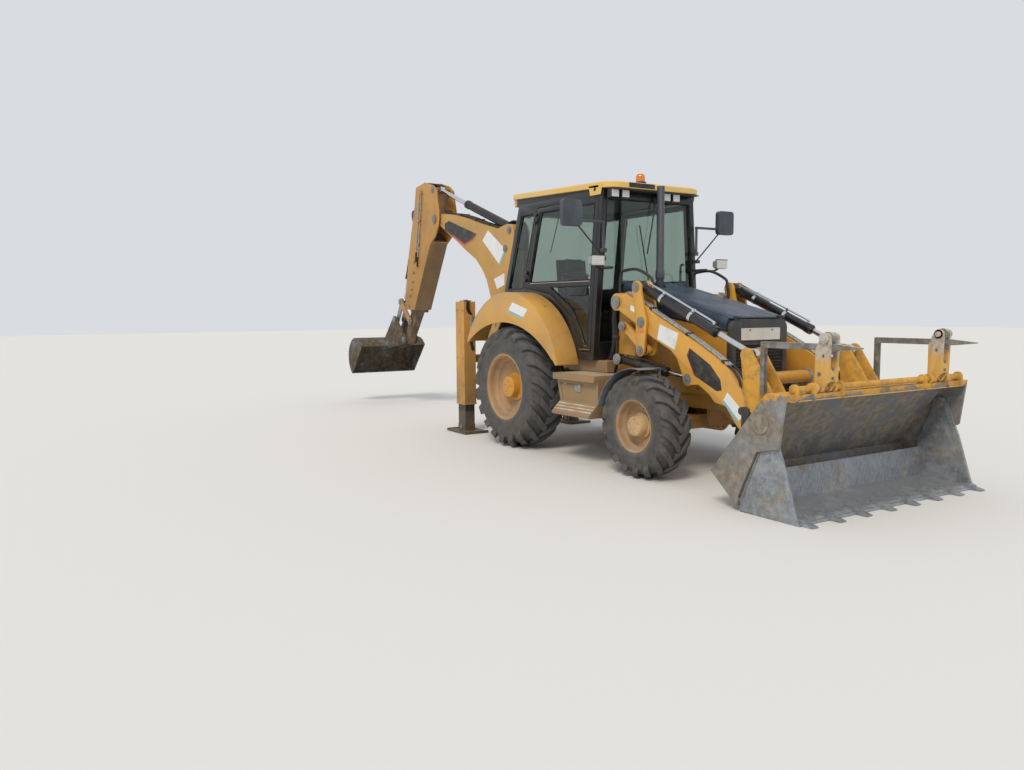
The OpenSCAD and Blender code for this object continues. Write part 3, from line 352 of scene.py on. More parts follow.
@dataclass(frozen=True)
class PartPaintedSteel(Finish):
    """Forged fork steel: the tines and posts are bare, brown and rubbed grey; the carriers keep their
    yellow enamel, worn to a chalky white at the top."""

    def shade(self, tree: bpy.types.NodeTree, shader: bpy.types.Node) -> None:
        """Bare where the tines lie, painted elsewhere."""
        side = from_middle(tree)
        band = maths(tree, "MULTIPLY", maths(tree, "GREATER_THAN", side, 0.738),
                     maths(tree, "LESS_THAN", side, 0.775))
        free = maths(tree, "MAXIMUM", maths(tree, "GREATER_THAN", object_axis(tree, "Z"), 1.14),
                     maths(tree, "LESS_THAN", object_axis(tree, "X"), spot(4000, 0, 0).x))
        tine = maths(tree, "MULTIPLY", band, free)
        chalk = ramp(tree, ragged_height(tree, 60, 0.05), 1.16, 1.27, 0.0, 0.92)
        worn = ramp(tree, noise(tree, 45, 9, 0.75), 0.52, 0.66, 0.0, 0.7)
        paint = mix(tree, worn, "#cfa355", "#b7a27f")
        paint = mix(tree, chalk, paint, mix(tree, ramp(tree, noise(tree, 30, 7), 0.4, 0.66),
                                            "#bab6ac", "#979084"))
        level = ramp(tree, object_axis(tree, "Z", "Normal"), 0.2, 0.8)
        bare = mix(tree, ramp(tree, noise(tree, 90, 8, 0.7), 0.36, 0.66), "#6d675e", "#93928c")
        bare = mix(tree, level, bare, "#b9b7b0")
        fill(tree, shader, Base_Color=mix(tree, tine, paint, bare), Roughness=0.58,
             Metallic=maths(tree, "MULTIPLY", tine, 0.35),
             Normal=bump(tree, noise(tree, 16, 8, 0.7), 1.0, 0.4))


@dataclass(frozen=True)
class HardChrome(Finish):
    """Ground and chromed piston rod: a clear mirror with only a film of dust."""

    def shade(self, tree: bpy.types.NodeTree, shader: bpy.types.Node) -> None:
        """A bright metal with faint blots of dust."""
        film = ramp(tree, noise(tree, 130, 6), 0.5, 0.8, 0.0, 0.5)
        fill(tree, shader, Base_Color=mix(tree, film, "#d7d9dc", "#a09787"), Metallic=1.0,
             Roughness=ramp(tree, film, 0.0, 0.5, 0.12, 0.4))


@dataclass(frozen=True)
class MouldedPlastic(Finish):
    """Moulded polypropylene or polyamide: an even colour, a fine grain and a soft highlight."""
    tone: str = "#2a2d31"
    dusty: str = "#6f6a60"
    share: float = 0.25
    gloss: float = 0.45
    top_mm: float = 2200.0

    def shade(self, tree: bpy.types.NodeTree, shader: bpy.types.Node) -> None:
        """The moulded colour with a thin veil of dust and a leather-like grain."""
        level = ramp(tree, object_axis(tree, "Z", "Normal"), 0.3, 0.95, 0.0, 0.5)
        blots = ramp(tree, noise(tree, 260, 7), 0.38, 0.75, 0.0, 0.9)
        dirt = maths(tree, "MULTIPLY", maths(tree, "ADD", level, blots), self.share)
        fill(tree, shader, Base_Color=mix(tree, dirt, self.tone, self.dusty), IOR=1.49,
             Roughness=ramp(tree, dirt, 0.0, 0.6, self.gloss, 0.85),
             Normal=bump(tree, noise(tree, 4, 3), 0.3, 0.3))


@dataclass(frozen=True)
class TyreRubber(Finish):
    """Cured tyre rubber: dull charcoal, worn smooth and darker on the lugs, with soil dust that
    stays between them and on the side wall."""
    centre: Vector = field(default_factory=Vector)
    carcass_mm: float = 660.0
    bead_mm: float = 370.0

    def shade(self, tree: bpy.types.NodeTree, shader: bpy.types.Node) -> None:
        """Works from the distance to the wheel's axis, so that it turns with the wheel."""
        place = add(tree, "ShaderNodeTexCoord").outputs["Object"]
        away = vector_maths(tree, "SUBTRACT", place, self.centre)
        level = vector_maths(tree, "MULTIPLY", away.outputs[0], Vector((1, 0, 1)))
        reach = vector_maths(tree, "LENGTH", level.outputs[0]).outputs["Value"]
        lug = ramp(tree, reach, self.carcass_mm * MM, (self.carcass_mm + 30) * MM)
        bead = ramp(tree, reach, (self.bead_mm + 60) * MM, self.bead_mm * MM, 0.0, 0.35)
        blots = ramp(tree, noise(tree, 120, 8, 0.7), 0.3, 0.75, 0.1, 0.8)
        dirt = maths(tree, "MULTIPLY", blots, ramp(tree, lug, 0.0, 1.0, 0.62, 0.3))
        dirt = maths(tree, "ADD", dirt, bead)
        rubber = mix(tree, ramp(tree, noise(tree, 35, 6), 0.3, 0.7), "#2e2f31", "#3b3c3e")
        rubber = mix(tree, ramp(tree, lug, 0.6, 1.0, 0.0, 0.7), rubber, "#565b60")
        fill(tree, shader, Base_Color=mix(tree, dirt, rubber, "#77726a"), IOR=1.52,
             Roughness=ramp(tree, dirt, 0.0, 0.8, 0.62, 0.95),
             Normal=bump(tree, noise(tree, 8, 8, 0.75), 1.2, 0.45))


@dataclass(frozen=True)
class TintedGlass(Finish):
    """Green-tinted safety glass with a trace of dust toward its edges."""

    def shade(self, tree: bpy.types.NodeTree, shader: bpy.types.Node) -> None:
        """Clear glass whose body colour gives the green cast."""
        film = ramp(tree, noise(tree, 300, 6), 0.45, 0.8, 0.015, 0.11)
        fill(tree, shader, Base_Color="#bccac1", Transmission_Weight=1.0, IOR=1.45, Roughness=film)


@dataclass(frozen=True)
class PressedLens(Finish):
    """A pressed clear or coloured plastic lens, lit from the sky only."""
    tone: str = "#f3f4f2"
    clear: float = 0.35

    def shade(self, tree: bpy.types.NodeTree, shader: bpy.types.Node) -> None:
        """Glossy plastic with ribs moulded on its back."""
        ribs = add(tree, "ShaderNodeTexWave", {"Scale": per_metre(60), "bands_direction": "Z"},
                   {"Vector": add(tree, "ShaderNodeTexCoord").outputs["Object"]}).outputs["Fac"]
        fill(tree, shader, Base_Color=mix(tree, ramp(tree, ribs, 0.2, 0.8, 0.0, 0.22), self.tone, "#55524c"),
             Roughness=0.12, Transmission_Weight=self.clear, Coat_Weight=0.6, Coat_Roughness=0.05)


@dataclass(frozen=True)
class WovenCloth(Finish):
    """Woven polyester seat cloth; threads are drawn 4 mm apart, coarser than real, so that they
    show."""
    tone: str = "#2e3036"
    thread_mm: float = 4.0

    def shade(self, tree: bpy.types.NodeTree, shader: bpy.types.Node) -> None:
        """Two crossed rows of threads with a soft sheen."""
        place = add(tree, "ShaderNodeTexCoord").outputs["Object"]
        rows = [add(tree, "ShaderNodeTexWave", {"Scale": per_metre(self.thread_mm) / 20,
                                                "bands_direction": way}, {"Vector": place}).outputs["Fac"]
                for way in ("X", "Y")]
        weave = maths(tree, "MULTIPLY", rows[0], rows[1])
        worn = ramp(tree, noise(tree, 150, 6), 0.35, 0.75)
        colour = mix(tree, weave, self.tone, "#454851")
        fill(tree, shader, Base_Color=mix(tree, maths(tree, "MULTIPLY", worn, 0.35), colour, "#7a7468"),
             Roughness=0.92, Sheen_Weight=0.3, Normal=bump(tree, weave, 0.8, 0.5))


@dataclass(frozen=True)
class PrintedFilm(Finish):
    """A blank vinyl label: flat colour, slightly glossy, greyed by dust."""
    tone: str = "#dfe3e4"

    def shade(self, tree: bpy.types.NodeTree, shader: bpy.types.Node) -> None:
        """A plain film with dirt caught in patches."""
        dirt = ramp(tree, noise(tree, 150, 8, 0.65), 0.45, 0.8, 0.0, 0.35)
        fill(tree, shader, Base_Color=mix(tree, dirt, self.tone, "#9a9080"),
             Roughness=ramp(tree, dirt, 0.0, 0.5, 0.35, 0.8))


class Palette:
    """Every finish of the machine, named for its real material."""
    # Enamels: paint, faded paint, dust, wear, height of heavy dust in mm, roughness, chips, painted shade on
    # faces that look forward.
    yellow = SprayedEnamel("sprayed_yellow_enamel", "yellow_paint", "#cd9c47", "#bd8e42")
    arm_yellow = SprayedEnamel("sprayed_yellow_enamel_loader", "yellow_paint", "#d09a3a", "#c08b34",
                               "#b79a72", Wear.DUSTY, 1350, 0.34, 0.8)
    boom_yellow = SprayedEnamel("sprayed_yellow_enamel_boom", "yellow_paint", "#bf923f", "#b08538",
                                "#b79a72", Wear.DUSTY, 2600, 0.34, 0.9)
    low_yellow = SprayedEnamel("muddy_yellow_enamel", "yellow_paint", "#b98a3f", "#c58a24", "#9c8466",
                               Wear.MUDDY, 1500, 0.5)
    rim = SprayedEnamel("dusty_rim_enamel", "yellow_paint", "#b98f58", "#a98357", "#9c8770", Wear.MUDDY,
                        1300, 0.55, 0.6)
    hub = SprayedEnamel("hub_enamel", "yellow_paint", "#c8923f", "#c58a24", "#b99c72", Wear.DUSTY, 900, 0.45)
    cream = SprayedEnamel("faded_roof_enamel", "roof_paint", "#ddb55e", "#d8b873", "#cbbb95", Wear.CLEAN,
                          2000, 0.4, 0.2)
    black = SprayedEnamel("black_chassis_enamel", "black_paint", "#1d1f21", "#232527", "#6b5d4b", Wear.DUSTY,
                          1300, 0.4, 0.3)
    cab = SprayedEnamel("black_cab_enamel", "black_paint", "#101417", "#15191d", "#4a4a48", Wear.CLEAN, 1900,
                        0.32, 0.15)
    cylinder = SprayedEnamel("black_cylinder_enamel", "black_paint", "#15181b", "#1a1e23", "#4f4c47",
                             Wear.CLEAN, 1500, 0.3, 0.4)
    grey = SprayedEnamel("grey_stack_enamel", "black_paint", "#3c434d", "#363c46", "#5f6064", Wear.CLEAN,
                         1500, 0.42, 0.2)
    white = SprayedEnamel("worn_white_enamel", "yellow_paint", "#b9b5aa", "#a8a297", "#8d8068", Wear.MUDDY,
                          1300, 0.55, 1.0)
    red = SprayedEnamel("red_lock_enamel", "yellow_paint", "#b3202a", "#a01c25", "#b79a72", Wear.CLEAN, 1000,
                        0.34, 0.3)
    cover = SprayedEnamel("side_cover_enamel", "yellow_paint", "#bf8a2d", "#b07f2c", "#8f7452", Wear.MUDDY,
                          1350, 0.45)
    step = SprayedEnamel("step_box_enamel", "yellow_paint", "#967a50", "#8c7050", "#887564", Wear.MUDDY,
                         1500, 0.6, 0.6)
    tread = SprayedEnamel("worn_tread_enamel", "yellow_paint", "#c3b79f", "#b7aa92", "#c6bcab", Wear.MUDDY,
                          1500, 0.7, 0.8)
    grille = SprayedEnamel("grille_enamel", "black_paint", "#262d34", "#2e343a", "#6c6a64", Wear.DUSTY, 1500,
                           0.6, 0.3)
    tube = SprayedEnamel("black_guard_tube_enamel", "black_paint", "#22262b", "#2a2f35", "#6b6a66",
                         Wear.CLEAN, 1500, 0.3, 0.3)
    silver = SprayedEnamel("silver_lamp_enamel", "lamp_housing", "#92989e", "#858b91", "#9a968c", Wear.CLEAN,
                           1500, 0.25, 0.1)
    front_hub = SprayedEnamel("dusty_hub_enamel", "yellow_paint", "#cfa869", "#c6a26c", "#bba688",
                              Wear.MUDDY, 1200, 0.6)
    fork_yellow = SprayedEnamel("worn_fork_enamel", "yellow_paint", "#d9a23a", "#cf9a3c", "#a5a095",
                                Wear.DUSTY, 1500, 0.5, 1.0)
    frame_yellow = SprayedEnamel("stabilizer_housing_enamel", "yellow_paint", "#cf9637", "#c08a3a",
                                 "#9f7f58", Wear.MUDDY, 1500, 0.5, 0.8)
    # The stick's forward faces get a dark brown painted shade from the last colour.
    stick_yellow = SprayedEnamel("worn_stick_enamel", "yellow_paint", "#bd8a36", "#ae7f34", "#8f6f4b",
                                 Wear.MUDDY, 2500, 0.45, 1.0, "#5a452b")
    stick_black = SprayedEnamel("muddy_black_stick_enamel", "black_paint", "#2a2522", "#33291f", "#62503b",
                                Wear.MUDDY, 2600, 0.5, 0.8)
    leg = SprayedEnamel("black_leg_enamel", "black_paint", "#1b1a19", "#242220", "#6d655a", Wear.DUSTY, 300,
                        0.35)
    # Steels: steel, earth, dust, share of earth, height above which paint is left in mm.
    scoured = ScouredSteel("scoured_plate", "worn_steel", "#a0a6ad", "#7e766b", "#a19c94", 0.3)
    bucket_back = ScouredSteel("scoured_back_plate", "worn_steel", "#8f8c87", "#736a5e", "#958b7d", 0.75,
                               905, True)
    dig_steel = ScouredSteel("scoured_ditch_plate", "worn_steel", "#4a4640", "#43382b", "#6a5c49", 0.9)
    pin = ScouredSteel("turned_pin_steel", "worn_steel", "#8b8882", "#6f6558", "#938a7c", 0.2)
    fork = ScouredSteel("scoured_fork_steel", "worn_steel", "#a09d96", "#6f6558", "#938a7c", 0.35)
    latch = ScouredSteel("plated_latch_steel", "worn_steel", "#b9b6ae", "#6f6558", "#938a7c", 0.1)
    pipe_steel = ScouredSteel("plated_pipe_steel", "worn_steel", "#c6c4bc", "#6f6558", "#a89f90", 0.2)
    fork_paint = PartPaintedSteel("part_painted_fork_steel", "yellow_paint")
    chrome = HardChrome("hard_chrome", "chrome_rod")
    reflector = HardChrome("vacuum_plated_reflector", "lamp_housing")
    # Bright door rods: the one under each upper window is a painted highlight of the window seal; the low
    # ones are sill trim.
    sill_strip_and_highlight = HardChrome("sill_strip_and_painted_highlight", "lamp_housing")
    pipe_bright = HardChrome("zinc_plated_pipe", "worn_steel")
    # Plastics: tone, dust, share of dust, roughness.
    hood = MouldedPlastic("moulded_hood_shell", "black_paint", "#1a2a3d", "#627186", 0.26, 0.28)
    plastic = MouldedPlastic("moulded_black_plastic", "black_paint", "#24272a")
    mirror_shell = MouldedPlastic("moulded_mirror_shell", "black_paint", "#3b434b", "#7a7f84")
    inside = MouldedPlastic("moulded_cab_lining", "black_paint", "#3c4044", "#6c685f", 0.35, 0.55)
    hose = MouldedPlastic("braided_hose_cover", "tyre_rubber", "#16171a", "#6a5f4e", 0.4, 0.55)
    seal = MouldedPlastic("window_seal_rubber", "tyre_rubber", "#0e0f10", "#4e4b45", 0.2, 0.6)
    guard = MouldedPlastic("moulded_mudguard", "black_paint", "#4c5157", "#8f9499", 0.8, 0.5)
    # Rubber: the wheel's centre, the radii of the carcass and the bead in mm.
    rear_tyre = TyreRubber("rear_tyre_rubber", "tyre_rubber", spot(0, 0, 700), 662, 372)
    front_tyre = TyreRubber("front_tyre_rubber", "tyre_rubber", spot(2230, 0, 494), 464, 245)
    glass = TintedGlass("tinted_safety_glass", "tinted_glass")
    # Lenses: tone, share of light that passes.
    clear_lens = PressedLens("clear_lens", "lamp_housing")
    amber_lens = PressedLens("amber_lens", "lamp_housing", "#e8871c", 0.15)
    red_lens = PressedLens("red_lens", "lamp_housing", "#a3151b", 0.15)
    cloth = WovenCloth("woven_seat_cloth", "seat_fabric")
    # Blank films: tone.
    label = PrintedFilm("blank_white_film", "roof_paint")
    dark_label = PrintedFilm("blank_dark_film", "black_paint", "#1e1c1d")
    red_label = PrintedFilm("blank_red_film", "yellow_paint", "#b0232b")
    teal_label = PrintedFilm("blank_teal_film", "roof_paint", "#7db4c4")
    plate = PrintedFilm("blank_pressed_plate", "lamp_housing", "#cfcfc9")


class Shape:
    """Closed shells gathered into one mesh, drawn in millimetres from the rear axle."""

    def __init__(self) -> None:
        """Starts an empty mesh."""
        self.mesh = bmesh.new()

    def skin(self, rings: Sequence[Sequence[Sequence[float]]], loop: bool = False) -> None:
        """Skins rings of equal length.

        Args:
            rings: each ring's points, in order.
            loop: True if the last ring joins the first, and False to cap both ends.
        """
        rows = [[self.mesh.verts.new(spot(*p)) for p in ring] for ring in rings]
        count = len(rows[0])
        pairs = list(zip(rows, rows[1:])) + ([(rows[-1], rows[0])] if loop else [])
        for one, two in pairs:
            for i in range(count):
                j = (i + 1) % count
                self.mesh.faces.new((one[i], one[j], two[j], two[i]))
        if not loop:
            self.mesh.faces.new(rows[0][::-1])
            self.mesh.faces.new(rows[-1])

    def prism(self, outline: Sequence[Flat], y0: float, y1: float, mirror: bool = False) -> None:
        """A plate drawn in X and Z, from y0 to y1, and again on the other side if mirror is set."""
        for side in ((1, -1) if mirror else (1,)):
            self.skin([[(x, side * y, z) for x, z in outline] for y in (y0, y1)])

    def box(self, low: Point, high: Point, mirror: bool = False) -> None:
        """A box from its lowest to its highest corner."""
        (x0, y0, z0), (x1, y1, z1) = low, high
        self.prism([(x0, z0), (x1, z0), (x1, z1), (x0, z1)], y0, y1, mirror)

    def flank(self, side: int, low: Point, high: Point) -> None:
        """A box on one side, -1 or 1; its Y values are distances from the middle of the machine."""
        y0, y1 = sorted((side * low[1], side * high[1]))
        self.box((low[0], y0, low[2]), (high[0], y1, high[2]))

    def panel(self, side: int, outline: Sequence[Flat], y0: float, y1: float) -> None:
        """A plate drawn in X and Z on one side; y0 and y1 are distances from the middle."""
        self.prism(outline, *sorted((side * y0, side * y1)))

    def rod(self, start: Point, end: Point, r: float, r_end: Optional[float] = None,
            sides: int = 20) -> None:
        """A round bar, or a cone if r_end differs."""
        self.skin(rings_along([Vector(start), Vector(end)], [r, r if r_end is None else r_end], sides))

    def pipe(self, points: Sequence[Point], r: float, sides: int = 10, smooth: int = 6) -> None:
        """A bent pipe or hose through given points, rounded at its bends."""
        path = [Vector(p) for p in points]
        if smooth > 1 and len(path) > 2:
            path = rounded(path, smooth)
        self.skin(rings_along(path, [r] * len(path), sides))

    def lathe(self, profile: Sequence[Flat], centre: Point, axis: str = "Y", sides: int = 96) -> None:
        """Turns a closed profile of radius and height about an axis through centre."""
        rings = []
        for i in range(sides):
            a = 2 * math.pi * i / sides
            c, s = math.cos(a), math.sin(a)
            ring = []
            for r, h in profile:
                flat = {"Y": (r * s, h, r * c), "Z": (r * c, r * s, h), "X": (h, r * c, r * s)}[axis]
                ring.append((centre[0] + flat[0], centre[1] + flat[1], centre[2] + flat[2]))
            rings.append(ring)
        self.skin(rings, loop=True)

    def bolt(self, place: Point, axis: Point, r: float = 14.0, height: float = 10.0) -> None:
        """A hexagon head on its washer, standing on a face."""
        base, up = Vector(place), Vector(axis).normalized()
        self.skin(rings_along([base - up * 1.5, base + up * 3], [r * 1.5] * 2, 16))
        self.skin(rings_along([base + up * 2.5, base + up * height], [r * 1.05] * 2, 6))
        self.skin(rings_along([base + up * (height - 0.5), base + up * (height + r * 0.35)],
                              [r * 0.62] * 2, 12))

    def pin_cap(self, place: Point, side: float, r: float) -> None:
        """A pin's end plate with its keeper bolt, standing on a face that looks along Y."""
        x, y, z = place
        self.rod((x, y - side * 2, z), (x, y + side * 9, z), r, sides=32)
        self.rod((x, y + side * 8, z), (x, y + side * 14, z), r * 0.62, sides=28)
        self.bolt((x + r * 0.3, y + side * 13, z + r * 0.1), (0, side, 0), 7, 6)

    def piece(self, name: str, finish: Finish, body: str, bevel: float = 0.0,
              replaces: Sequence[str] = (), smooth_deg: float = 34.0) -> bpy.types.Object:
        """Turns the shells into one named object that rides on a body.

        Args:
            name: the piece's name.
            finish: its finish.
            body: the CAD body that it moves with.
            bevel: the width of its rounded edges in millimetres, or 0.
            replaces: CAD nodes that aren't shown, because this piece stands for them.
            smooth_deg: edges sharper than this stay crisp.

        Returns:
            The new object.
        """
        bmesh.ops.recalc_face_normals(self.mesh, faces=self.mesh.faces[:])
        data = bpy.data.meshes.new(name)
        self.mesh.to_mesh(data)
        self.mesh.free()
        obj = bpy.data.objects.new(name, data)
        bpy.context.scene.collection.objects.link(obj)
        finish_mesh(obj, finish, bevel, smooth_deg)
        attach(obj, body)
        if replaces:
            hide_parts(*replaces)
        LOG.info("%s: %d faces on %s", name, len(data.polygons), body)
        return obj


def rings_along(path: Sequence[Vector], radii: Sequence[float], sides: int) -> list[list[Vector]]:
    """Circles that stand square on a path, without twist.

    Args:
        path: the points of the centre line.
        radii: one radius for each point.
        sides: the points of each circle.

    Returns:
        The circles' points.
    """
    ways = []
    for i in range(len(path)):
        before, after = path[max(i - 1, 0)], path[min(i + 1, len(path) - 1)]
        ways.append((after - before).normalized())
    across = ways[0].orthogonal().normalized()
    rings = []
    for point, way, r in zip(path, ways, radii):
        across = (across - way * across.dot(way)).normalized()
        up = way.cross(across)
        rings.append([point + (across * math.cos(a) + up * math.sin(a)) * r
                      for a in (2 * math.pi * k / sides for k in range(sides))])
    return rings


def rounded(path: Sequence[Vector], steps: int) -> list[Vector]:
    """A smooth curve through the points, with steps parts between each two."""
    ends = [path[0] * 2 - path[1], *path, path[-1] * 2 - path[-2]]
    curve = []
    for a, b, c, d in zip(ends, ends[1:], ends[2:], ends[3:]):
        for k in range(steps):
            t = k / steps
            curve.append(0.5 * ((b * 2) + (c - a) * t + (a * 2 - b * 5 + c * 4 - d) * t * t
                                + (b * 3 - a - c * 3 + d) * t * t * t))
    curve.append(path[-1].copy())
    return curve


def around(corners: Sequence[Flat]) -> list[tuple[Flat, Flat]]:
    """Each corner with the next one, back to the first."""
    return list(zip(corners, [*corners[1:], corners[0]]))


def ring_spots(count: int, r: float, turn: float = 0.0) -> list[Flat]:
    """Points spread evenly on a circle round the origin, the first turned by some radians."""
    angles = [2 * math.pi * k / count + turn for k in range(count)]
    return [(r * math.cos(a), r * math.sin(a)) for a in angles]


def shapes(count: int) -> list[Shape]:
    """Several empty shapes."""
    return [Shape() for _ in range(count)]


def finish_mesh(obj: bpy.types.Object, finish: Finish, bevel: float, smooth_deg: float) -> None:
    """Gives an object its material, smooth shading and rounded edges."""
    obj.data.materials.clear()
    obj.data.materials.append(finish.material())
    obj.data.shade_smooth()
    if bevel:
        edge = obj.modifiers.new("rounded_edges", "BEVEL")
        edge.width, edge.segments, edge.limit_method = bevel * MM, 2, "ANGLE"
        edge.angle_limit, edge.use_clamp_overlap = math.radians(smooth_deg), True
        edge.harden_normals = True
    else:
        obj.data.set_sharp_from_angle(angle=math.radians(smooth_deg))


def dress(node: str, finish: Finish, bevel: float = 3.0, smooth_deg: float = 34.0) -> None:
    """Gives a CAD node its finish and rounds its edges, with its own vertices left alone.

    Args:
        node: the CAD node's name.
        finish: its finish.
        bevel: the width of its rounded edges in millimetres, or 0.
        smooth_deg: edges sharper than this are rounded.
    """
    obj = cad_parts[node]
    if bevel:
        weld = obj.modifiers.new("joined_corners", "WELD")
        weld.merge_threshold = 0.00002
        flat = obj.modifiers.new("whole_faces", "DECIMATE")
        flat.decimate_type, flat.angle_limit = "DISSOLVE", math.radians(0.4)
    finish_mesh(obj, finish, bevel, smooth_deg)


class Side(Enum):
    """The machine's sides, with the sign of Y."""
    RIGHT = -1
    LEFT = 1

    @property
    def word(self) -> str:
        """The side's name as it stands in node names."""
        return self.name.lower()


def cab_skin(z: float) -> float:
    """How far the cab's side stands from the middle, in millimetres, at a height."""
    return 760 - (z - 1060) * 120 / 1773


@dataclass(frozen=True)
class Stroke:
    """The centre line of a cylinder from its base to its rod's eye, both given in X and Z."""
    base: Flat
    eye: Flat
    y: float

    def at(self, along: float, up: float = 0.0, aside: float = 0.0) -> Point:
        """A point by its way along the line, its height square to it and its distance aside."""
        start, end = (Vector((x, 0, z)) for x, z in (self.base, self.eye))
        way = (end - start).normalized()
        return tuple(start + way * along + Vector((-way.z, 0, way.x)) * up
                     + Vector((0, self.y + aside, 0)))

    def points(self, *places: Flat) -> list[Point]:
        """Several points above the line."""
        return [self.at(along, up) for along, up in places]


@dataclass(frozen=True)
class WheelSize:
    """One axle's wheels, in millimetres; heights along the axle grow outwards from the wheel's middle."""
    x: float
    y: float
    r: float
    half: float
    rim: float
    lug: float
    lugs: int
    sweep: float
    lug_half: Flat
    hub: Sequence[Flat]
    nut_ring: float
    nuts: int
    cap_ring: float
    caps: int
    spindle: float


REAR_SIZE = WheelSize(0, 868, 700, 215, 365, 38, 20, 0.36, (31, 42),
                      [(33, 62), (33, 170), (56, 168), (62, 128), (146, 122), (154, 112)], 148, 10, 66, 5, 62)
FRONT_SIZE = WheelSize(2230, 885, 494, 155, 238, 30, 17, 0.42, (25, 34),
                       [(60, 47), (26, 47), (26, 128), (48, 124), (58, 104), (126, 97), (140, 88)],
                       116, 8, 70, 6, 47)


class Wheel:
    """A wheel: a tyre with chevron lugs on a dished rim, and a hub that carries its bolts."""

    def __init__(self, axle: str, side: Side, size: WheelSize, tyre: TyreRubber, hub: Finish) -> None:
        """Args: axle is front or rear, side the machine's side, then the sizes and two finishes."""
        self.node = f"{axle}_wheel_{side.word}"
        self.sign = side.value
        self.size, self.tyre_finish, self.hub_finish = size, tyre, hub
        self.mid = size.rim + 0.45 * (size.r - size.lug - size.rim)

    def at(self, angle: float, r: float, h: float) -> Point:
        """A point by its angle round the axle, its radius and its height along the axle."""
        s = self.size
        return (s.x + r * math.sin(angle), self.sign * (s.y + h), s.r + r * math.cos(angle))

    def section(self, h: float) -> Flat:
        """The outside of the carcass above the widest line: radius and height for a height h."""
        s = self.size
        k = min(abs(h) / s.half, 0.999)
        up = (1 - k ** 3) ** (1 / 3)
        return (self.mid + (s.r - s.lug - self.mid) * up, h)

    def carcass(self) -> list[Flat]:
        """The closed section of the tyre without its lugs, bead to bead and back inside."""
        s = self.size
        line = []
        for i in range(41):
            turn = math.radians(118.1) * (i / 20 - 1)
            h = s.half * math.copysign(abs(math.sin(turn)) ** (2 / 3), turn)
            up = abs(math.cos(turn)) ** (2 / 3)
            reach = (s.r - s.lug - self.mid) if math.cos(turn) >= 0 else -(self.mid - s.rim) / 0.605
            line.append((self.mid + reach * up, h))
        return line + [(s.rim - 3, s.half * 0.86), (s.rim - 3, -s.half * 0.86)]

    def lug(self, shape: Shape, angle: float, row: int) -> None:
        """One lug, lofted from just past the centre line to the side wall."""
        s = self.size
        rings = []
        stations = ((-0.09, 1.0), (0.14, 1.0), (0.38, 1.04), (0.6, 1.12), (0.78, 1.28), (0.9, 1.1),
                    (0.968, 0.3))
        for share, tall in stations:
            r, h = self.section(share * s.half)
            near, far = self.section((share - 0.02) * s.half), self.section((share + 0.02) * s.half)
            out = Vector((far[1] - near[1], near[0] - far[0])).normalized()
            top_r, top_h = r + out.x * s.lug * tall, h + out.y * s.lug * tall
            top_r = min(top_r, math.sqrt(max(s.r ** 2 - 1, 0)))
            grow = max(share, 0)
            half = (s.lug_half[0] + (s.lug_half[1] - s.lug_half[0]) * grow) / math.cos(0.72)
            mid = angle - s.sweep * grow
            foot = (half + 7) / s.r
            crest = half / s.r
            rings.append([self.at(mid - foot, r - 6, row * h), self.at(mid - crest, top_r, row * top_h),
                          self.at(mid + crest, top_r, row * top_h), self.at(mid + foot, r - 6, row * h)])
        shape.skin(rings)

    def build(self) -> None:
        """Makes the tyre, rim and hub."""
        s = self.size
        centre = (s.x, self.sign * s.y, s.r)
        tyre = Shape()
        tyre.lathe([(r, self.sign * h) for r, h in self.carcass()], centre, sides=128)
        for i in range(s.lugs):
            for row in (1, -1):
                self.lug(tyre, 2 * math.pi * (i + (0.25 if row > 0 else -0.25)) / s.lugs, row)
        for share in (0.86, 0.93, 0.99):
            ring_r = s.rim + (self.mid - s.rim) * share
            h = s.half * (0.975 if share < 0.95 else 0.988)
            for way in (1, -1):
                tyre.lathe([(ring_r + 3 * math.cos(a), self.sign * way * (h + 3 * math.sin(a)))
                            for a in (math.pi * k / 4 for k in range(8))], centre)
        tyre.piece(f"{self.node}_tyre", self.tyre_finish, self.node, bevel=3.5, replaces=(self.node,))
        rim = Shape()
        rim.lathe([(f * s.rim, self.sign * g * s.half) for f, g in (
            (1.05, .92), (1.055, .957), (1.036, .972), (1.003, .945), (.964, .884), (.948, .79),
            (.943, .63), (.904, .535), (.855, .488), (.838, .43), (.822, .326), (.773, .26), (.636, .233),
            (.52, .205), (s.spindle / s.rim, .205), (s.spindle / s.rim, .15), (.52, .15), (.636, .177),
            (.767, .195), (.8, -.465), (.871, -.558), (.915, -.698), (.932, -.884), (1.003, -.945),
            (1.036, -.972), (1.055, -.957), (1.05, -.92), (.99, -.874), (.965, -.79), (.96, -.465),
            (.904, -.372), (.904, .372), (.96, .512), (.965, .79), (.99, .874))], centre, sides=128)
        rim.rod(self.at(0.5, s.rim * 0.88, s.half * 0.5), self.at(0.5, s.rim * 0.8, s.half * 0.72), 7)
        rim.piece(f"{self.node}_rim", Palette.rim, self.node, bevel=0.0, replaces=(self.node,),
                  smooth_deg=50)
        hub = Shape()
        hub.skin([[self.at(2 * math.pi * k / 64, r, h) for k in range(64)] for h, r in s.hub])
        out, face = (0, self.sign, 0), s.hub[-1][0]
        for i in range(s.nuts):
            hub.bolt(self.at(2 * math.pi * i / s.nuts + 0.2, s.nut_ring, 30 if s.spindle < 60 else 44),
                     out, 10, 22 if s.spindle < 60 else 16)
        for i in range(s.caps):
            hub.bolt(self.at(2 * math.pi * i / s.caps, s.cap_ring, face - 1), out, 8, 6)
        hub.rod(self.at(0, 0.01, face - 2), self.at(0, 0.01, face + 4), s.cap_ring * 0.42, sides=24)
        hub.piece(f"{self.node}_hub", self.hub_finish, self.node, bevel=2.0, replaces=(self.node,))


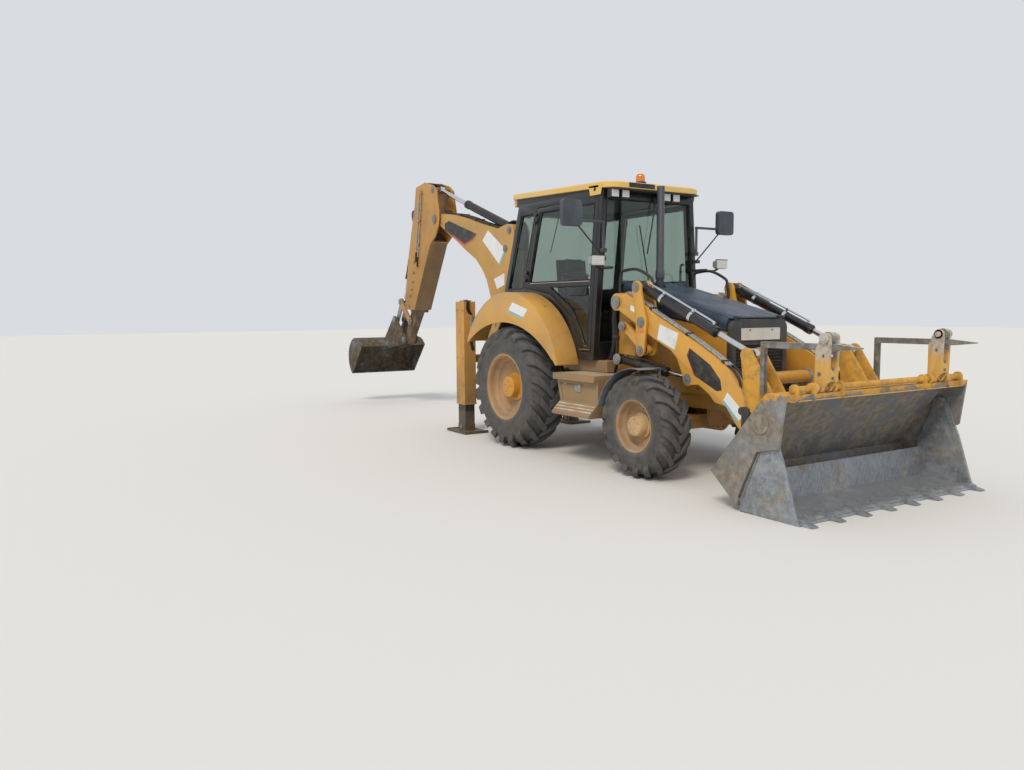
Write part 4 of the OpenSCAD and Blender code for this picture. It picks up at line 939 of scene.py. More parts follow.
@dataclass
class Chassis:
    """The frame with its axles, boxes, fenders, side covers and grille."""
    fender_y: float = 1050.0
    box_y: float = 985.0
    step_z: float = 925.0
    rear_z: float = 700.0
    front_z: float = 494.0
    arm_pin: Flat = (1566, 1661)
    link_pin: Flat = (1646, 1419)
    lift_pin: Flat = (1570, 1082)

    def build(self) -> None:
        """Finishes the CAD nodes and adds lids, treads, guards, hoses and labels."""
        for node, finish, bevel in (
                ("chassis_frame", Palette.cover, 3), ("engine_block", Palette.black, 6),
                ("radiator_grille", Palette.grille, 2), ("rear_axle", Palette.black, 4),
                ("front_axle", Palette.low_yellow, 4), ("step_boxes", Palette.step, 4),
                ("rear_fenders", Palette.yellow, 3), ("exhaust_stack", Palette.grey, 2),
                ("mirrors", Palette.mirror_shell, 6), ("knuckle_right", Palette.guard, 2.5),
                ("knuckle_left", Palette.guard, 2.5), ("steering_rod", Palette.chrome, 0)):
            dress(node, finish, bevel)
        self.boxes()
        self.fenders()
        self.front()
        self.guards()
        self.hoses()
        self.axle_trim()

    def boxes(self) -> None:
        """Toolbox lids with latches, ribbed treads and the tanks below the cab, on both sides."""
        lids, treads, latches = shapes(3)
        lid = [(998, 812), (1066, 578), (1384, 578), (1384, 812)]
        lids.prism(lid, self.box_y - 9, self.box_y - 2, mirror=True)
        for side in SIDES:
            for k in range(7):
                y = side * (700 + 48 * k)
                treads.box((960, y, self.step_z - 1), (1620, y + 8, self.step_z + 3))
            for k in range(3):
                y = side * (1010 + 28 * k)
                z = 613 - (abs(y) - 1010) * 0.966
                treads.skin([[(x, y, z + 6), (x, y + side * 9, z - 2.7), (x, y + side * 9, z - 8),
                              (x, y, z)] for x in (1010, 1630)])
            latches.flank(side, (1262, 978, 742), (1358, 992, 815))
            latches.rod((1290, side * 988, 780), (1290, side * 1001, 780), 20)
            latches.flank(side, (1298, 990, 752), (1342, 999, 772))
            for x in (1085, 1340):
                latches.rod((x - 26, side * 982, 816), (x + 26, side * 982, 816), 7)
        tanks = Shape()
        tanks.prism([(642, 1056), (642, 1012), (762, 928), (1422, 928), (1422, 1056)], 362, 700, mirror=True)
        tanks.piece("tanks_below_cab", Palette.step, "chassis", bevel=10)
        lids.piece("toolbox_lids", Palette.step, "chassis", bevel=2)
        treads.piece("step_treads", Palette.tread, "chassis", bevel=1)
        latches.piece("toolbox_latches", Palette.latch, "chassis", bevel=1.5)

    def fenders(self) -> None:
        """Rolled fender edges, fender bolts, rear lights and the blank label on the near side."""
        edge, lights, label, bolts, stripe = shapes(5)
        low, top = self.arc(-862, 0, 1450, 1215, 930, 1060), self.arc(-905, -60, 1790, 1240, 1000, 1070)
        for side in SIDES:
            edge.pipe([(x, side * (self.fender_y - 3), z) for x, z in low], 5, smooth=1)
            lights.flank(side, (-909, 905, 1262), (-901, 1010, 1330))
            for x, z in top[5:18:6]:
                bolts.bolt((x, side * 900, z - 2), (0.1, 0, 1), 9, 7)
        label.prism([(155, 1674), (464, 1593), (362, 1487), (50, 1570)], -self.fender_y - 1.5,
                    -self.fender_y + 1)
        stripe.prism([(50, 1570), (362, 1487), (381, 1507), (70, 1590)], -self.fender_y - 2.1,
                     -self.fender_y + 1)
        stripe.piece("fender_label_stripe", Palette.teal_label, "chassis")
        edge.piece("fender_edges", Palette.yellow, "chassis")
        lights.piece("rear_lights", Palette.red_lens, "chassis", bevel=3)
        bolts.piece("fender_bolts", Palette.pin, "chassis")
        label.piece("fender_label", Palette.label, "chassis")

    @staticmethod
    def arc(x0: float, x1: float, z1: float, z0: float, x2: float, z2: float) -> list[Flat]:
        """Points along the circle through (x0, z0), (x1, z1) and (x2, z2)."""
        d = 2 * (x0 * (z1 - z2) + x1 * (z2 - z0) + x2 * (z0 - z1))
        q0, q1, q2 = x0 * x0 + z0 * z0, x1 * x1 + z1 * z1, x2 * x2 + z2 * z2
        cx = (q0 * (z1 - z2) + q1 * (z2 - z0) + q2 * (z0 - z1)) / d
        cz = (q0 * (x2 - x1) + q1 * (x0 - x2) + q2 * (x1 - x0)) / d
        r = math.hypot(x0 - cx, z0 - cz)
        a0, a1 = math.atan2(z0 - cz, x0 - cx), math.atan2(z2 - cz, x2 - cx)
        if a1 > a0:
            a1 -= 2 * math.pi
        return [(cx + r * math.cos(a), cz + r * math.sin(a))
                for a in (a0 + (a1 - a0) * k / 24 for k in range(25))]

    def front(self) -> None:
        """The blank number plate, seams of the side covers and a mesh in the grille."""
        plate, seam, mesh, bolts = shapes(4)
        plate.box((2826, -262, 1294), (2831, 262, 1406))
        for y in (-256, 256):
            plate.box((2830, y - 4, 1296), (2833, y + 4, 1404))
        for z in (1299, 1401):
            plate.box((2830, -258, z - 3), (2833, 258, z + 3))
        for y in (-150, 150):
            bolts.bolt((2831, y, 1388), (1, 0, 0), 6, 5)
        for side in SIDES:
            for x in (1752, 2250):
                seam.flank(side, (x, 375, 790), (x + 10, 378, 1590 - (x - 1440) * 0.166))
            for x in (1480, 1900, 2400, 2700):
                bolts.bolt((x, side * 374, 830), (0, side, 0), 9, 7)
        for k in range(40):
            y = -312 + 16 * k
            mesh.box((2811, y - 1.2, 872), (2814, y + 1.2, 1249))
        for k in range(23):
            mesh.box((2814, -318, 880 + 16 * k), (2817, 318, 882.5 + 16 * k))
        for z in (975, 1085, 1190):
            mesh.box((2812, -318, z - 4), (2819, 318, z + 4))
        plate.piece("number_plate_blank", Palette.plate, "chassis", bevel=0.8)
        seam.piece("side_cover_seams", Palette.cover, "chassis", bevel=1)
        mesh.piece("grille_mesh", Palette.plastic, "chassis")
        bolts.piece("cover_bolts", Palette.pin, "chassis")

    def guards(self) -> None:
        """Tube guards over the towers, and the caps of the towers' pins."""
        rails, pins = shapes(2)
        for side in SIDES:
            y = side * 520
            rails.pipe([(1411, y, 1740), (1411, y, 1864), (1432, y, 1962), (1500, y, 1985), (1684, y, 1986),
                        (1880, y, 1902), (1911, y, 1840), (1911, y, 1700), (1780, side * 372, 1520)], 15)
            for (x, z), out, r in ((self.arm_pin, 707, 62), (self.link_pin, 687, 48),
                                   (self.lift_pin, 687, 56)):
                pins.pin_cap((x, side * out, z), side, r)
        rails.piece("tower_guards", Palette.tube, "chassis")
        pins.piece("tower_pins", Palette.pin, "chassis", bevel=1.5)

    def hoses(self) -> None:
        """Hydraulic hoses from the valves under the floor to the towers, and their clamps."""
        hoses, clamps = shapes(2)
        for side in SIDES:
            for k in range(4):
                y, dx = side * (512 + 22 * k), 26 * k
                hoses.pipe([(1290 + dx, side * 400, 950), (1330 + dx, y, 935), (1392 + dx * 0.5, y, 1040),
                            (1406 + dx * 0.4, y, 1300), (1395 + dx * 0.3, y, 1560),
                            (1440 + dx * 0.2, y, 1700), (1520, y, 1745 + 4 * k)], 15)
            hoses.pipe([(1405, side * 548, 1740), (1372, side * 562, 1500), (1384, side * 566, 1260),
                        (1335, side * 566, 1100), (1290, side * 562, 1050), (1240, side * 560, 1000)], 27)
            clamps.flank(side, (1385, 496, 1290), (1460, 604, 1316))
            hoses.pipe([(1560, side * 610, 930), (1650, side * 590, 880), (1800, side * 540, 860),
                        (2000, side * 470, 830), (2150, side * 400, 700)], 13)
            hoses.pipe([(2150, side * 400, 700), (2120, side * 480, 600), (2100, side * 560, 520)], 10)
        hoses.piece("tower_hoses", Palette.hose, "chassis")
        clamps.piece("hose_clamps", Palette.black, "chassis", bevel=2)

    def axle_trim(self) -> None:
        """Bolts of both axles."""
        bolts = Shape()
        for side in SIDES:
            for dx, dz in ring_spots(8, 128):
                bolts.bolt((dx, side * 640, self.rear_z + dz), (0, side, 0), 10, 10)
            for dz in (-90, 90):
                bolts.bolt((2276, side * 625, self.front_z + dz), (1, 0, 0), 11, 10)
        for dy, dz in ring_spots(8, 96, 0.3):
            bolts.bolt((2359, dy, self.front_z + 10 + dz), (1, 0, 0), 9, 9)
            bolts.bolt((199, dy, self.rear_z + dz), (1, 0, 0), 9, 9)
        bolts.piece("axle_bolts", Palette.pin, "chassis")


@dataclass
class Cab:
    """The closed cab with its doors, window seals, lamps, mirrors and inside fittings."""
    roof_z: float = 2833.0
    # Cushions: grid size, how far they may swell, both in metres, cloth pressure and frames.
    voxel: float = 0.006
    quick_voxel: float = 0.012
    swell: float = 0.024
    pressure: float = 4.0
    frames: int = 20

    def build(self) -> None:
        """Finishes the CAD nodes and adds what the CAD leaves out."""
        for node, finish, bevel in (
                ("cab_frame", Palette.cab, 3), ("cab_floor", Palette.inside, 6),
                ("cab_glass", Palette.glass, 0), ("door_glass_right", Palette.glass, 0),
                ("door_glass_left", Palette.glass, 0), ("door_right", Palette.cab, 3),
                ("door_left", Palette.cab, 3)):
            dress(node, finish, bevel)
        self.seals()
        self.doors()
        self.roof()
        self.lamps()
        self.mirror_faces()
        self.inside()
        self.seat()

    @staticmethod
    def on_skin(flat: Flat, side: int, proud: float) -> Point:
        """A point of the cab's side, a little proud of it."""
        return (flat[0], side * (cab_skin(flat[1]) + proud), flat[1])

    def closed(self, shape: Shape, corners: Sequence[Flat], side: int, r: float, proud: float) -> None:
        """A rubber seal round a window on the cab's side."""
        for a, b in around(corners):
            shape.rod(self.on_skin(a, side, proud), self.on_skin(b, side, proud), r, sides=8)

    def seals(self) -> None:
        """Seals of the quarter windows, the windscreen and the rear window, and the wipers."""
        seal = Shape()
        for side in SIDES:
            self.closed(seal, [(25, 2700), (-270, 2700), (-480, 1840), (-160, 1840)], side, 7, -3)
        front = [(-685, 1240), (-580, 2740), (580, 2740), (685, 1240)]
        back = [(-670, 1760), (-570, 2720), (570, 2720), (670, 1760)]
        for corners, x_of in ((front, lambda z: 1268), (back, lambda z: -588 + (z - 1700) * 260 / 1133)):
            for (y0, z0), (y1, z1) in around(corners):
                seal.rod((x_of(z0), y0, z0), (x_of(z1), y1, z1), 8, sides=8)
        seal.piece("window_seals", Palette.seal, "chassis")
        wiper = Shape()
        wiper.rod((1262, 60, 2762), (1292, 60, 2762), 22)
        wiper.pipe([(1288, 60, 2762), (1292, 40, 2600), (1286, -40, 2180)], 8, smooth=4)
        wiper.pipe([(1284, -150, 2480), (1284, -20, 1900)], 7, smooth=1)
        wiper.rod((-372, -20, 2745), (-350, -20, 2745), 20)
        wiper.pipe([(-378, -20, 2745), (-420, -60, 2500), (-466, -90, 2300)], 7, smooth=4)
        wiper.piece("wipers", Palette.plastic, "chassis", bevel=0)

    def doors(self) -> None:
        """Seals, a bright rod under the upper window that is a painted highlight of the seal, bright sill
        strips low on the door, a handle, hinge plates and a grab bar on each door.
        """
        for side in Side:
            s = side.value
            body = f"door_{side.word}"
            seal, sill_strip_and_highlight, handle = shapes(3)
            self.closed(seal, [(1150, 1900), (1150, 2700), (130, 2700), (-30, 1905)], s, 7, -3)
            self.closed(seal, [(1150, 1210), (1150, 1840), (400, 1840), (830, 1600), (1085, 1230)], s, 6, -3)
            # The bright rod under the upper window stands for the highlight on the seal there: a painted
            # highlight. The two rods low on the door are sill strips.
            sill_strip_and_highlight.rod(self.on_skin((0, 1893), s, 1), self.on_skin((1140, 1887), s, 1), 5, sides=8)
            sill_strip_and_highlight.rod(self.on_skin((1095, 1204), s, 0), self.on_skin((1148, 1204), s, 0), 5, sides=8)
            sill_strip_and_highlight.rod(self.on_skin((1010, 1166), s, 1), self.on_skin((1190, 1166), s, 1), 5, sides=8)
            y_at = lambda z, out: s * (cab_skin(z) + out)
            handle.skin([[(x, y_at(1815, o), 1815), (x, y_at(1741, o), 1741), (x, y_at(1741, 0), 1741),
                          (x, y_at(1815, 0), 1815)] for x, o in ((762, 4), (800, 22), (1060, 26), (1098, 6))])
            handle.rod((1040, y_at(1778, 20), 1778), (1040, y_at(1778, 33), 1778), 17)
            handle.pipe([(1120, s * 690, 1300), (1120, s * 650, 1340), (1120, s * 615, 1700),
                         (1120, s * 605, 2050), (1120, s * 650, 2090)], 13)
            for z in (1960, 2640):
                x = 85 + 3 - (2760 - z) * 190 / 910
                handle.flank(s, (x + 24, cab_skin(z) - 2, z - 22), (x + 62, cab_skin(z) + 12, z + 22))
            seal.piece(f"{body}_seals", Palette.seal, body)
            sill_strip_and_highlight.piece(f"{body}_sill_strips", Palette.sill_strip_and_highlight, body)
            handle.piece(f"{body}_handles", Palette.plastic, body, bevel=4)

    def roof(self) -> None:
        """The roof's skin, its blank front plate, bracket bolts and lining."""
        self.roof_shell()
        plate, trim, under = shapes(3)
        plate.box((1417, -410, self.roof_z + 14), (1421, -60, self.roof_z + 62))
        for side in SIDES:
            trim.rod((1168, side * 660, 2836), (1168, side * 666.5, 2836), 19)
        under.box((1290, -600, self.roof_z - 14), (1400, 600, self.roof_z - 1))
        under.box((-470, -560, self.roof_z - 46), (-405, 560, self.roof_z - 32))
        plate.piece("roof_plate_blank", Palette.dark_label, "chassis", bevel=2)
        trim.piece("roof_bolts", Palette.plastic, "chassis", bevel=1)
        under.piece("roof_lining", Palette.plastic, "chassis", bevel=2)

    @staticmethod
    def roof_ring(inset: float, lift: float) -> list[Point]:
        """The roof's plan, set in by inset, at a height above its sloping lower edge."""
        ring = []
        x0, x1, half = -495 + inset, 1418 - inset, 664 - inset
        for cx, cy, r, start in ((x1, half, 190, 0), (x0, half, 110, 90), (x0, -half, 110, 180),
                                 (x1, -half, 190, 270)):
            r = max(r - inset * 0.5, 30)
            mid_x, mid_y = cx - math.copysign(r, cx - 400), cy - math.copysign(r, cy)
            for k in range(9):
                a = math.radians(start + 90 * k / 8)
                x, y = mid_x + r * math.cos(a), mid_y + r * math.sin(a)
                ring.append((x, y, 2839 + (1340 - x) * 0.0398 + lift))
        return ring

    def roof_shell(self) -> None:
        """The pressed roof skin with its crown, rear drop, corner brackets and black gutter."""
        skin, gutter = shapes(2)
        skin.skin([self.roof_ring(i, h) for i, h in ((30, 0), (4, 0), (0, 5), (0, 52), (10, 63), (28, 68),
                                                     (90, 73), (120, 66), (330, 72))])
        skin.prism([(-497, 2832), (-432, 2836), (-426, 2920), (-497, 2925)], -600, 600)
        for side in SIDES:
            skin.panel(side, [(1060, 2880), (1085, 2776), (1262, 2776), (1283, 2875)], 654, 664)
        gutter.skin([[(x, y, 2834 + h * (5 + (1340 - x) * 0.0398)) for x, y, _ in self.roof_ring(34, 0)]
                     for h in (0, 1)])
        for y in (-200, 200):
            skin.rod((-250, y, 2975), (1000, y, 2925), 9, sides=12)
        skin.lathe([(2, 0), (72, 0), (72, 44), (64, 52), (2, 52)], (1120, 0, self.roof_z + 59), "Z", 40)
        skin.piece("roof_skin", Palette.cream, "chassis", bevel=4, replaces=("cab_roof",))
        gutter.piece("roof_gutter", Palette.cab, "chassis", replaces=("cab_roof",))

    def lamps(self) -> None:
        """Work lamps, stalk headlamps and the flashing beacon, in place of the CAD blocks."""
        shell, lens, mirror, silver = shapes(4)
        z = self.roof_z
        # Each row: shape, X from and to, half width, and how far its foot and top lie below the roof.
        front = ((shell, 1302, 1366, 55, 95, 1), (mirror, 1365, 1369, 44, 84, 12),
                 (lens, 1369.5, 1375, 46, 86, 10))
        rear = ((shell, -446, -392, 58, 130, 33), (mirror, -449, -445, 48, 120, 43),
                (lens, -455, -449.5, 50, 122, 41))
        for rows, places in ((front, (-555, -415, 160, 295)), (rear, (-480, 480))):
            for y in places:
                for shape, x0, x1, half, foot, top in rows:
                    shape.box((x0, y - half, z - foot), (x1, y + half, z - top))
        for side in SIDES:
            shell.flank(side, (1272, 645, 2002), (1458, 690, 2028))
            shell.pipe([(1440, side * 660, 2012), (1438, side * 800, 2008), (1438, side * 875, 2034)], 12)
            low, high = sorted((side * 790, side * 960))
            mid = (low + high) / 2
            silver.skin([[(x, mid + (y - mid) * k, 2080 + (h - 2080) * k)
                          for y, h in ((low, 2045), (low + 30, 2028), (high - 30, 2028), (high, 2045),
                                       (high, 2115), (high - 30, 2132), (low + 30, 2132), (low, 2115))]
                         for x, k in ((1400, 0.45), (1420, 0.8), (1450, 0.96), (1492, 1.0))])
            mirror.box((1490, low + 10, 2037), (1494, high - 10, 2123))
            lens.box((1494.5, low + 7, 2034), (1501, high - 7, 2126))
            shell.box((1484, low - 3, 2124), (1500, high + 3, 2135))
        base = (1120, 0, z + 112)
        shell.lathe([(2, 0.5), (66, 0.5), (66, 14), (52, 24), (2, 24)], base, "Z", 40)
        dome = Shape()
        dome.lathe([(2, 22), (50, 22), (50, 70), (46, 92), (34, 106), (2, 110)], base, "Z", 48)
        shell.piece("lamp_shells", Palette.plastic, "chassis", bevel=4, replaces=("lamps",))
        silver.piece("headlamp_shells", Palette.silver, "chassis", bevel=4, replaces=("lamps",))
        mirror.piece("lamp_reflectors", Palette.reflector, "chassis", replaces=("lamps",))
        lens.piece("lamp_lenses", Palette.clear_lens, "chassis", bevel=2, replaces=("lamps",))
        dome.piece("beacon_dome", Palette.amber_lens, "chassis", replaces=("lamps",))

    def mirror_faces(self) -> None:
        """Mirror glass that looks back, and the mirrors' stays."""
        glass, stay = shapes(2)
        for side in SIDES:
            glass.flank(side, (1297.5, 975, 2440), (1301, 1195, 2676))
            stay.pipe([(1312, side * 655, 2120), (1316, side * 700, 2160), (1320, side * 850, 2300),
                       (1320, side * 1000, 2440)], 8)
            stay.rod((1318, side * 1040, 2470), (1318, side * 1040, 2508), 16)
            stay.flank(side, (1275, 640, 2096), (1330, 700, 2130))
        glass.piece("mirror_glass", Palette.reflector, "chassis", bevel=1)
        stay.piece("mirror_stays", Palette.plastic, "chassis", bevel=0)

    def inside(self) -> None:
        """The dash, consoles, levers, pedals, a mat and the roof's inner lining."""
        dash, dark, knobs, lining = shapes(4)
        dash.skin([[(1150, -y, 1795), (1010, -y, 1795), (960, -y, 1850), (1000, -y, 1905), (1150, -y, 1880)]
                   for y in (-200, 200)])
        dash.box((1005, -320, 1796), (1155, 320, 1812))
        for side in SIDES:
            dash.flank(side, (-250, 300, 1096), (520, 500, 1480))
            dash.flank(side, (-230, 310, 1478), (500, 490, 1520))
            for k in range(3):
                knobs.pipe([(430 - 60 * k, side * 400, 1518), (440 - 60 * k, side * 405, 1600),
                            (430 - 60 * k, side * 405, 1650)], 7)
                knobs.rod((430 - 60 * k, side * 405, 1645), (430 - 60 * k, side * 405, 1690), 17, 13)
        for y in (-140, 120, 220):
            dark.box((950, y - 35, 1125), (1000, y + 35, 1215))
            dark.rod((1000, y, 1140), (1040, y, 1170), 9)
        for side in SIDES:
            dark.flank(side, (-360, 160, 1120), (-300, 300, 1500))
            knobs.pipe([(-290, side * 170, 1500), (-300, side * 175, 1640), (-290, side * 170, 1740)], 10)
            knobs.rod((-290, side * 170, 1730), (-288, side * 170, 1800), 22, 16)
        dark.box((-500, -560, 1136), (880, 560, 1142))
        lining.box((-340, -560, 2770), (1200, 560, 2786))
        dash.piece("consoles", Palette.inside, "chassis", bevel=12)
        dark.piece("pedals_and_mat", Palette.plastic, "chassis", bevel=4)
        knobs.piece("levers", Palette.plastic, "chassis", bevel=3)
        lining.piece("roof_inner_lining", Palette.inside, "chassis", bevel=5)

    def seat(self) -> None:
        """Seat cushions swollen by a cloth simulation, on a shell with arm rests."""
        shell = Shape()
        shell.box((-90, -235, 1442), (400, 235, 1470))
        shell.skin([[(x + dx, y, z) for x, z in ((-96, 1470), (-60, 1470), (-140, 2190), (-176, 2190))]
                    for dx, y in ((0, -215), (0, 215))])
        for side in SIDES:
            shell.flank(side, (-80, 247, 1690), (300, 303, 1732))
            shell.flank(side, (-110, 240, 1600), (-60, 284, 1732))
            shell.rod((-70, side * 210, 1640), (-70, side * 285, 1640), 18)
        shell.piece("seat_shell", Palette.plastic, "chassis", bevel=8, replaces=("operator_seat",))
        for name, low, high, lean in (("seat_cushion", (-40, -215, 1482), (390, 215, 1560), 0.0),
                                      ("seat_backrest", (-64, -200, 1590), (6, 200, 2030), -0.112),
                                      ("seat_headrest", (-124, -120, 2070), (-64, 120, 2200), -0.112)):
            self.cushion(name, low, high, lean)

    def cushion(self, name: str, low: Point, high: Point, lean: float) -> None:
        """One cushion, made as a closed pad that swells under pressure.

        Args:
            name: the piece's name.
            low: its lowest corner in millimetres.
            high: its highest corner.
            lean: how far it leans back with height, as a slope.
        """
        shape = Shape()
        shape.box(low, high)
        obj = shape.piece(name, Palette.cloth, "chassis", replaces=("operator_seat",))
        for vert in obj.data.vertices:
            vert.co.x += (vert.co.z - low[2] * MM) * lean
        rest = obj.modifiers.new("fine", "REMESH")
        rest.mode, rest.voxel_size = "VOXEL", self.voxel
        self.apply(obj)
        start = [v.co.copy() for v in obj.data.vertices]
        cloth = obj.modifiers.new("swell", "CLOTH")
        cloth.settings.use_pressure = True
        cloth.settings.uniform_pressure_force = self.pressure
        cloth.settings.quality = 6
        cloth.settings.effector_weights.gravity = 0.0
        cloth.collision_settings.use_collision = False
        scene = bpy.context.scene
        for number in range(self.frames):
            scene.frame_set(number + 1)
        self.apply(obj)
        for vert, first in zip(obj.data.vertices, start):
            move = vert.co - first
            if move.length > self.swell:
                vert.co = first + move * (self.swell / move.length)
        scene.frame_set(1)
        smooth = obj.modifiers.new("soft", "SMOOTH")
        smooth.factor, smooth.iterations = 0.5, 14
        self.apply(obj)
        obj.data.shade_smooth()
        fine = obj.modifiers.new("fine_again", "SUBSURF")
        fine.levels = fine.render_levels = 1

    @staticmethod
    def apply(obj: bpy.types.Object) -> None:
        """Turns an object's modifiers into its own mesh."""
        made = bpy.data.meshes.new_from_object(obj.evaluated_get(bpy.context.evaluated_depsgraph_get()))
        obj.modifiers.clear()
        obj.data = made


@dataclass
class Hood:
    """The moulded engine hood that turns at the nose."""
    half: float = 380.0
    vents: int = 9
    vent_x: float = 1560.0
    vent_pitch: float = 62.0
    vent_fall: float = 0.2

    def build(self) -> None:
        """Finishes the shell and adds its vents, seams, latches and lip."""
        dress("hood", Palette.hood, 9)
        vents, lip = shapes(2)
        for side in SIDES:
            for k in range(self.vents):
                x = self.vent_x + self.vent_pitch * k
                z = 1735 - (x - self.vent_x) * self.vent_fall
                vents.panel(side, [(x, z), (x + 36, z - 7), (x + 30, z - 70), (x - 6, z - 63)],
                            self.half - 3, self.half + 3)
            vents.pipe([(1446, side * 381, 1612), (2755, side * 381, 1395)], 5, smooth=1)
            vents.flank(side, (2600, 378, 1440), (2660, 388, 1472))
        lip.pipe([(2812, -268, 1500), (2812, 268, 1500)], 5, smooth=1)
        vents.piece("hood_vents", Palette.plastic, "hood", bevel=2)
        lip.piece("hood_lip", Palette.seal, "hood")


@dataclass
class Loader:
    """The loader's arms, levers, links and cylinders."""
    arm_y: float = 695.0
    arm_t: float = 110.0
    lever_t: float = 25.0
    tilt_pin: Flat = (1900, 1803)
    lever_pin: Flat = (1977, 1462)
    link_pin: Flat = (1966, 1188)
    lift_base: Flat = (1570, 1082)
    lift_pin: Flat = (2587, 945)
    bucket_pin: Flat = (3312, 1196)

    def build(self) -> None:
        """Finishes the CAD nodes and adds pipes, hoses, pin caps and labels."""
        for node, finish, bevel in (
                ("loader_arms", Palette.arm_yellow, 4), ("loader_levers", Palette.arm_yellow, 3),
                ("loader_links", Palette.arm_yellow, 3), ("lift_cylinder_barrels", Palette.cylinder, 3),
                ("lift_cylinder_rods", Palette.chrome, 2), ("tilt_cylinder_barrels", Palette.cylinder, 3),
                ("tilt_cylinder_pistons", Palette.pin, 0), ("tilt_cylinder_rods", Palette.chrome, 2),
                ("tilt_cylinder_bushings", Palette.pin, 0), ("bucket_hinge_pins", Palette.pin, 2)):
            dress(node, finish, bevel)
        self.pins()
        self.pipes()
        self.labels()

    def pins(self) -> None:
        """End plates on the levers' outer sides, caps on the arms, and a ring inside each arm."""
        levers, arms = shapes(2)
        inner, outer = self.arm_y - self.arm_t, self.arm_y + self.lever_t + 7
        for side in SIDES:
            for (x, z), r in ((self.tilt_pin, 46), (self.lever_pin, 52), (self.link_pin, 44)):
                levers.pin_cap((x, side * outer, z), side, r)
            x, z = self.lift_pin
            arms.rod((x, side * (self.arm_y - 2), z), (x, side * (self.arm_y + 5), z), 50, sides=32)
            arms.bolt((x, side * (self.arm_y + 4), z), (0, side, 0), 14, 8)
            arms.lathe([(60, side * -2), (80, side * -2), (70, side * -16), (60, side * -20)],
                       (2890, side * inner, 935), sides=40)
        levers.piece("lever_pin_caps", Palette.pin, "loader_levers", bevel=1.5)
        arms.piece("arm_pin_caps", Palette.pin, "loader_arms", bevel=1.5)

    def pipes(self) -> None:
        """Steel pipes along the top of each arm, with clamps, and the hoses at the front end."""
        pipes, hoses, clamps = shapes(3)
        line = [(1700, 1745), (2020, 1610), (2100, 1552), (2410, 1410), (2690, 1280), (2940, 1150),
                (3060, 1078)]
        for side in SIDES:
            for dy in (-24, 2, 28):
                y = side * (self.arm_y - self.arm_t / 2 + dy)
                pipes.pipe([(x + 5, y, z + 13) for x, z in line], 8, smooth=3)
            for (x0, z0), (x1, z1) in ((line[1], line[2]), (line[3], line[4]), (line[5], line[6])):
                x, z = (x0 + x1) / 2, (z0 + z1) / 2
                clamps.flank(side, (x - 14, self.arm_y - self.arm_t + 12, z - 8),
                             (x + 18, self.arm_y - 12, z + 26))
            for dy in (-24, 28):
                y = side * (self.arm_y - self.arm_t / 2 + dy)
                hoses.pipe([(3050, y, 1096), (3130, y, 1050), (3185, y, 985), (3200, y, 925),
                            (3215, y, 880)], 11)
        pipes.piece("arm_pipes", Palette.pipe_steel, "loader_arms")
        clamps.piece("arm_pipe_clamps", Palette.black, "loader_arms", bevel=2)
        hoses.piece("arm_hoses", Palette.hose, "loader_arms")
        self.tilt_pipes()

    def tilt_pipes(self) -> None:
        """A bright feed pipe and bands on each tilt cylinder, and pipes on each lift cylinder."""
        tilt, lift = shapes(2)
        saddle = Vector((14, 14, 12))
        for side in SIDES:
            one = Stroke(self.tilt_pin, self.bucket_pin, side * CYLINDER_Y)
            tilt.pipe(one.points((95, 44), (110, 66), (150, 70), (960, 70), (1000, 62), (1020, 46)), 9)
            inner = ((90, 40, 20), (120, 62, 24), (520, 64, 26))
            tilt.pipe([one.at(t, h, side * -dy) for t, h, dy in inner], 8)
            for t in (300, 720):
                tilt.rod(one.at(t), one.at(t + 34), 49, sides=32)
                middle = Vector(one.at(t + 17, 66))
                tilt.box(tuple(middle - saddle), tuple(middle + saddle))
            two = Stroke(self.lift_base, self.lift_pin, side * CYLINDER_Y)
            lift.pipe(two.points((110, 42), (130, 58), (600, 58), (640, 42)), 8)
            lift.rod(two.at(320), two.at(350), 47, sides=32)
        tilt.piece("tilt_cylinder_pipes", Palette.pipe_bright, "tilt_cylinder_barrels")
        lift.piece("lift_cylinder_pipes", Palette.cylinder, "lift_cylinder_barrels")

    def labels(self) -> None:
        """Blank labels, dark panels with a red wedge, lever reflectors and the red lift lock bar."""
        white, dark, red, amber, lock, lever, stripe = shapes(7)
        y0, y1 = -self.arm_y - 1.2, -self.arm_y + 1
        white.prism([(2211, 1443), (2465, 1363), (2418, 1206), (2178, 1302)], y0, y1)
        white.prism([(3078, 862), (3279, 697), (3198, 613), (3022, 774)], y0, y1)
        for side in SIDES:
            dark.panel(side, [(2613, 1232), (2590, 1150), (2690, 978), (2952, 863), (3011, 874),
                              (2994, 965), (2873, 1090)], self.arm_y - 1, self.arm_y + 1.4)
            red.panel(side, [(2613, 1232), (2576, 1166), (2668, 990), (2690, 978), (2590, 1150)],
                      self.arm_y - 1, self.arm_y + 1.2)
            amber.panel(side, [(1932, 1361), (2016, 1361), (2016, 1405), (1932, 1405)],
                        self.arm_y + 30, self.arm_y + 33)
        lever.prism([(1790, 1628), (1888, 1594), (1880, 1545), (1782, 1578)], y0, y1)
        lock.pipe([(1947, 640, 1785), (2682, 640, 1462)], 13, smooth=1)
        lock.rod((2660, 640, 1472), (2694, 640, 1457), 24)
        stripe.prism([(3022, 774), (3198, 613), (3214, 630), (3038, 792)], y0 - 0.6, y1)
        stripe.piece("arm_label_stripe", Palette.teal_label, "loader_arms")
        lock.piece("red_lift_lock_bar", Palette.red, "loader_arms")
        white.piece("arm_labels", Palette.label, "loader_arms")
        dark.piece("arm_dark_panels", Palette.dark_label, "loader_arms")
        red.piece("arm_red_wedges", Palette.red_label, "loader_arms")
        amber.piece("lever_reflectors", Palette.amber_lens, "loader_levers")
        lever.piece("arm_root_label", Palette.label, "loader_arms")


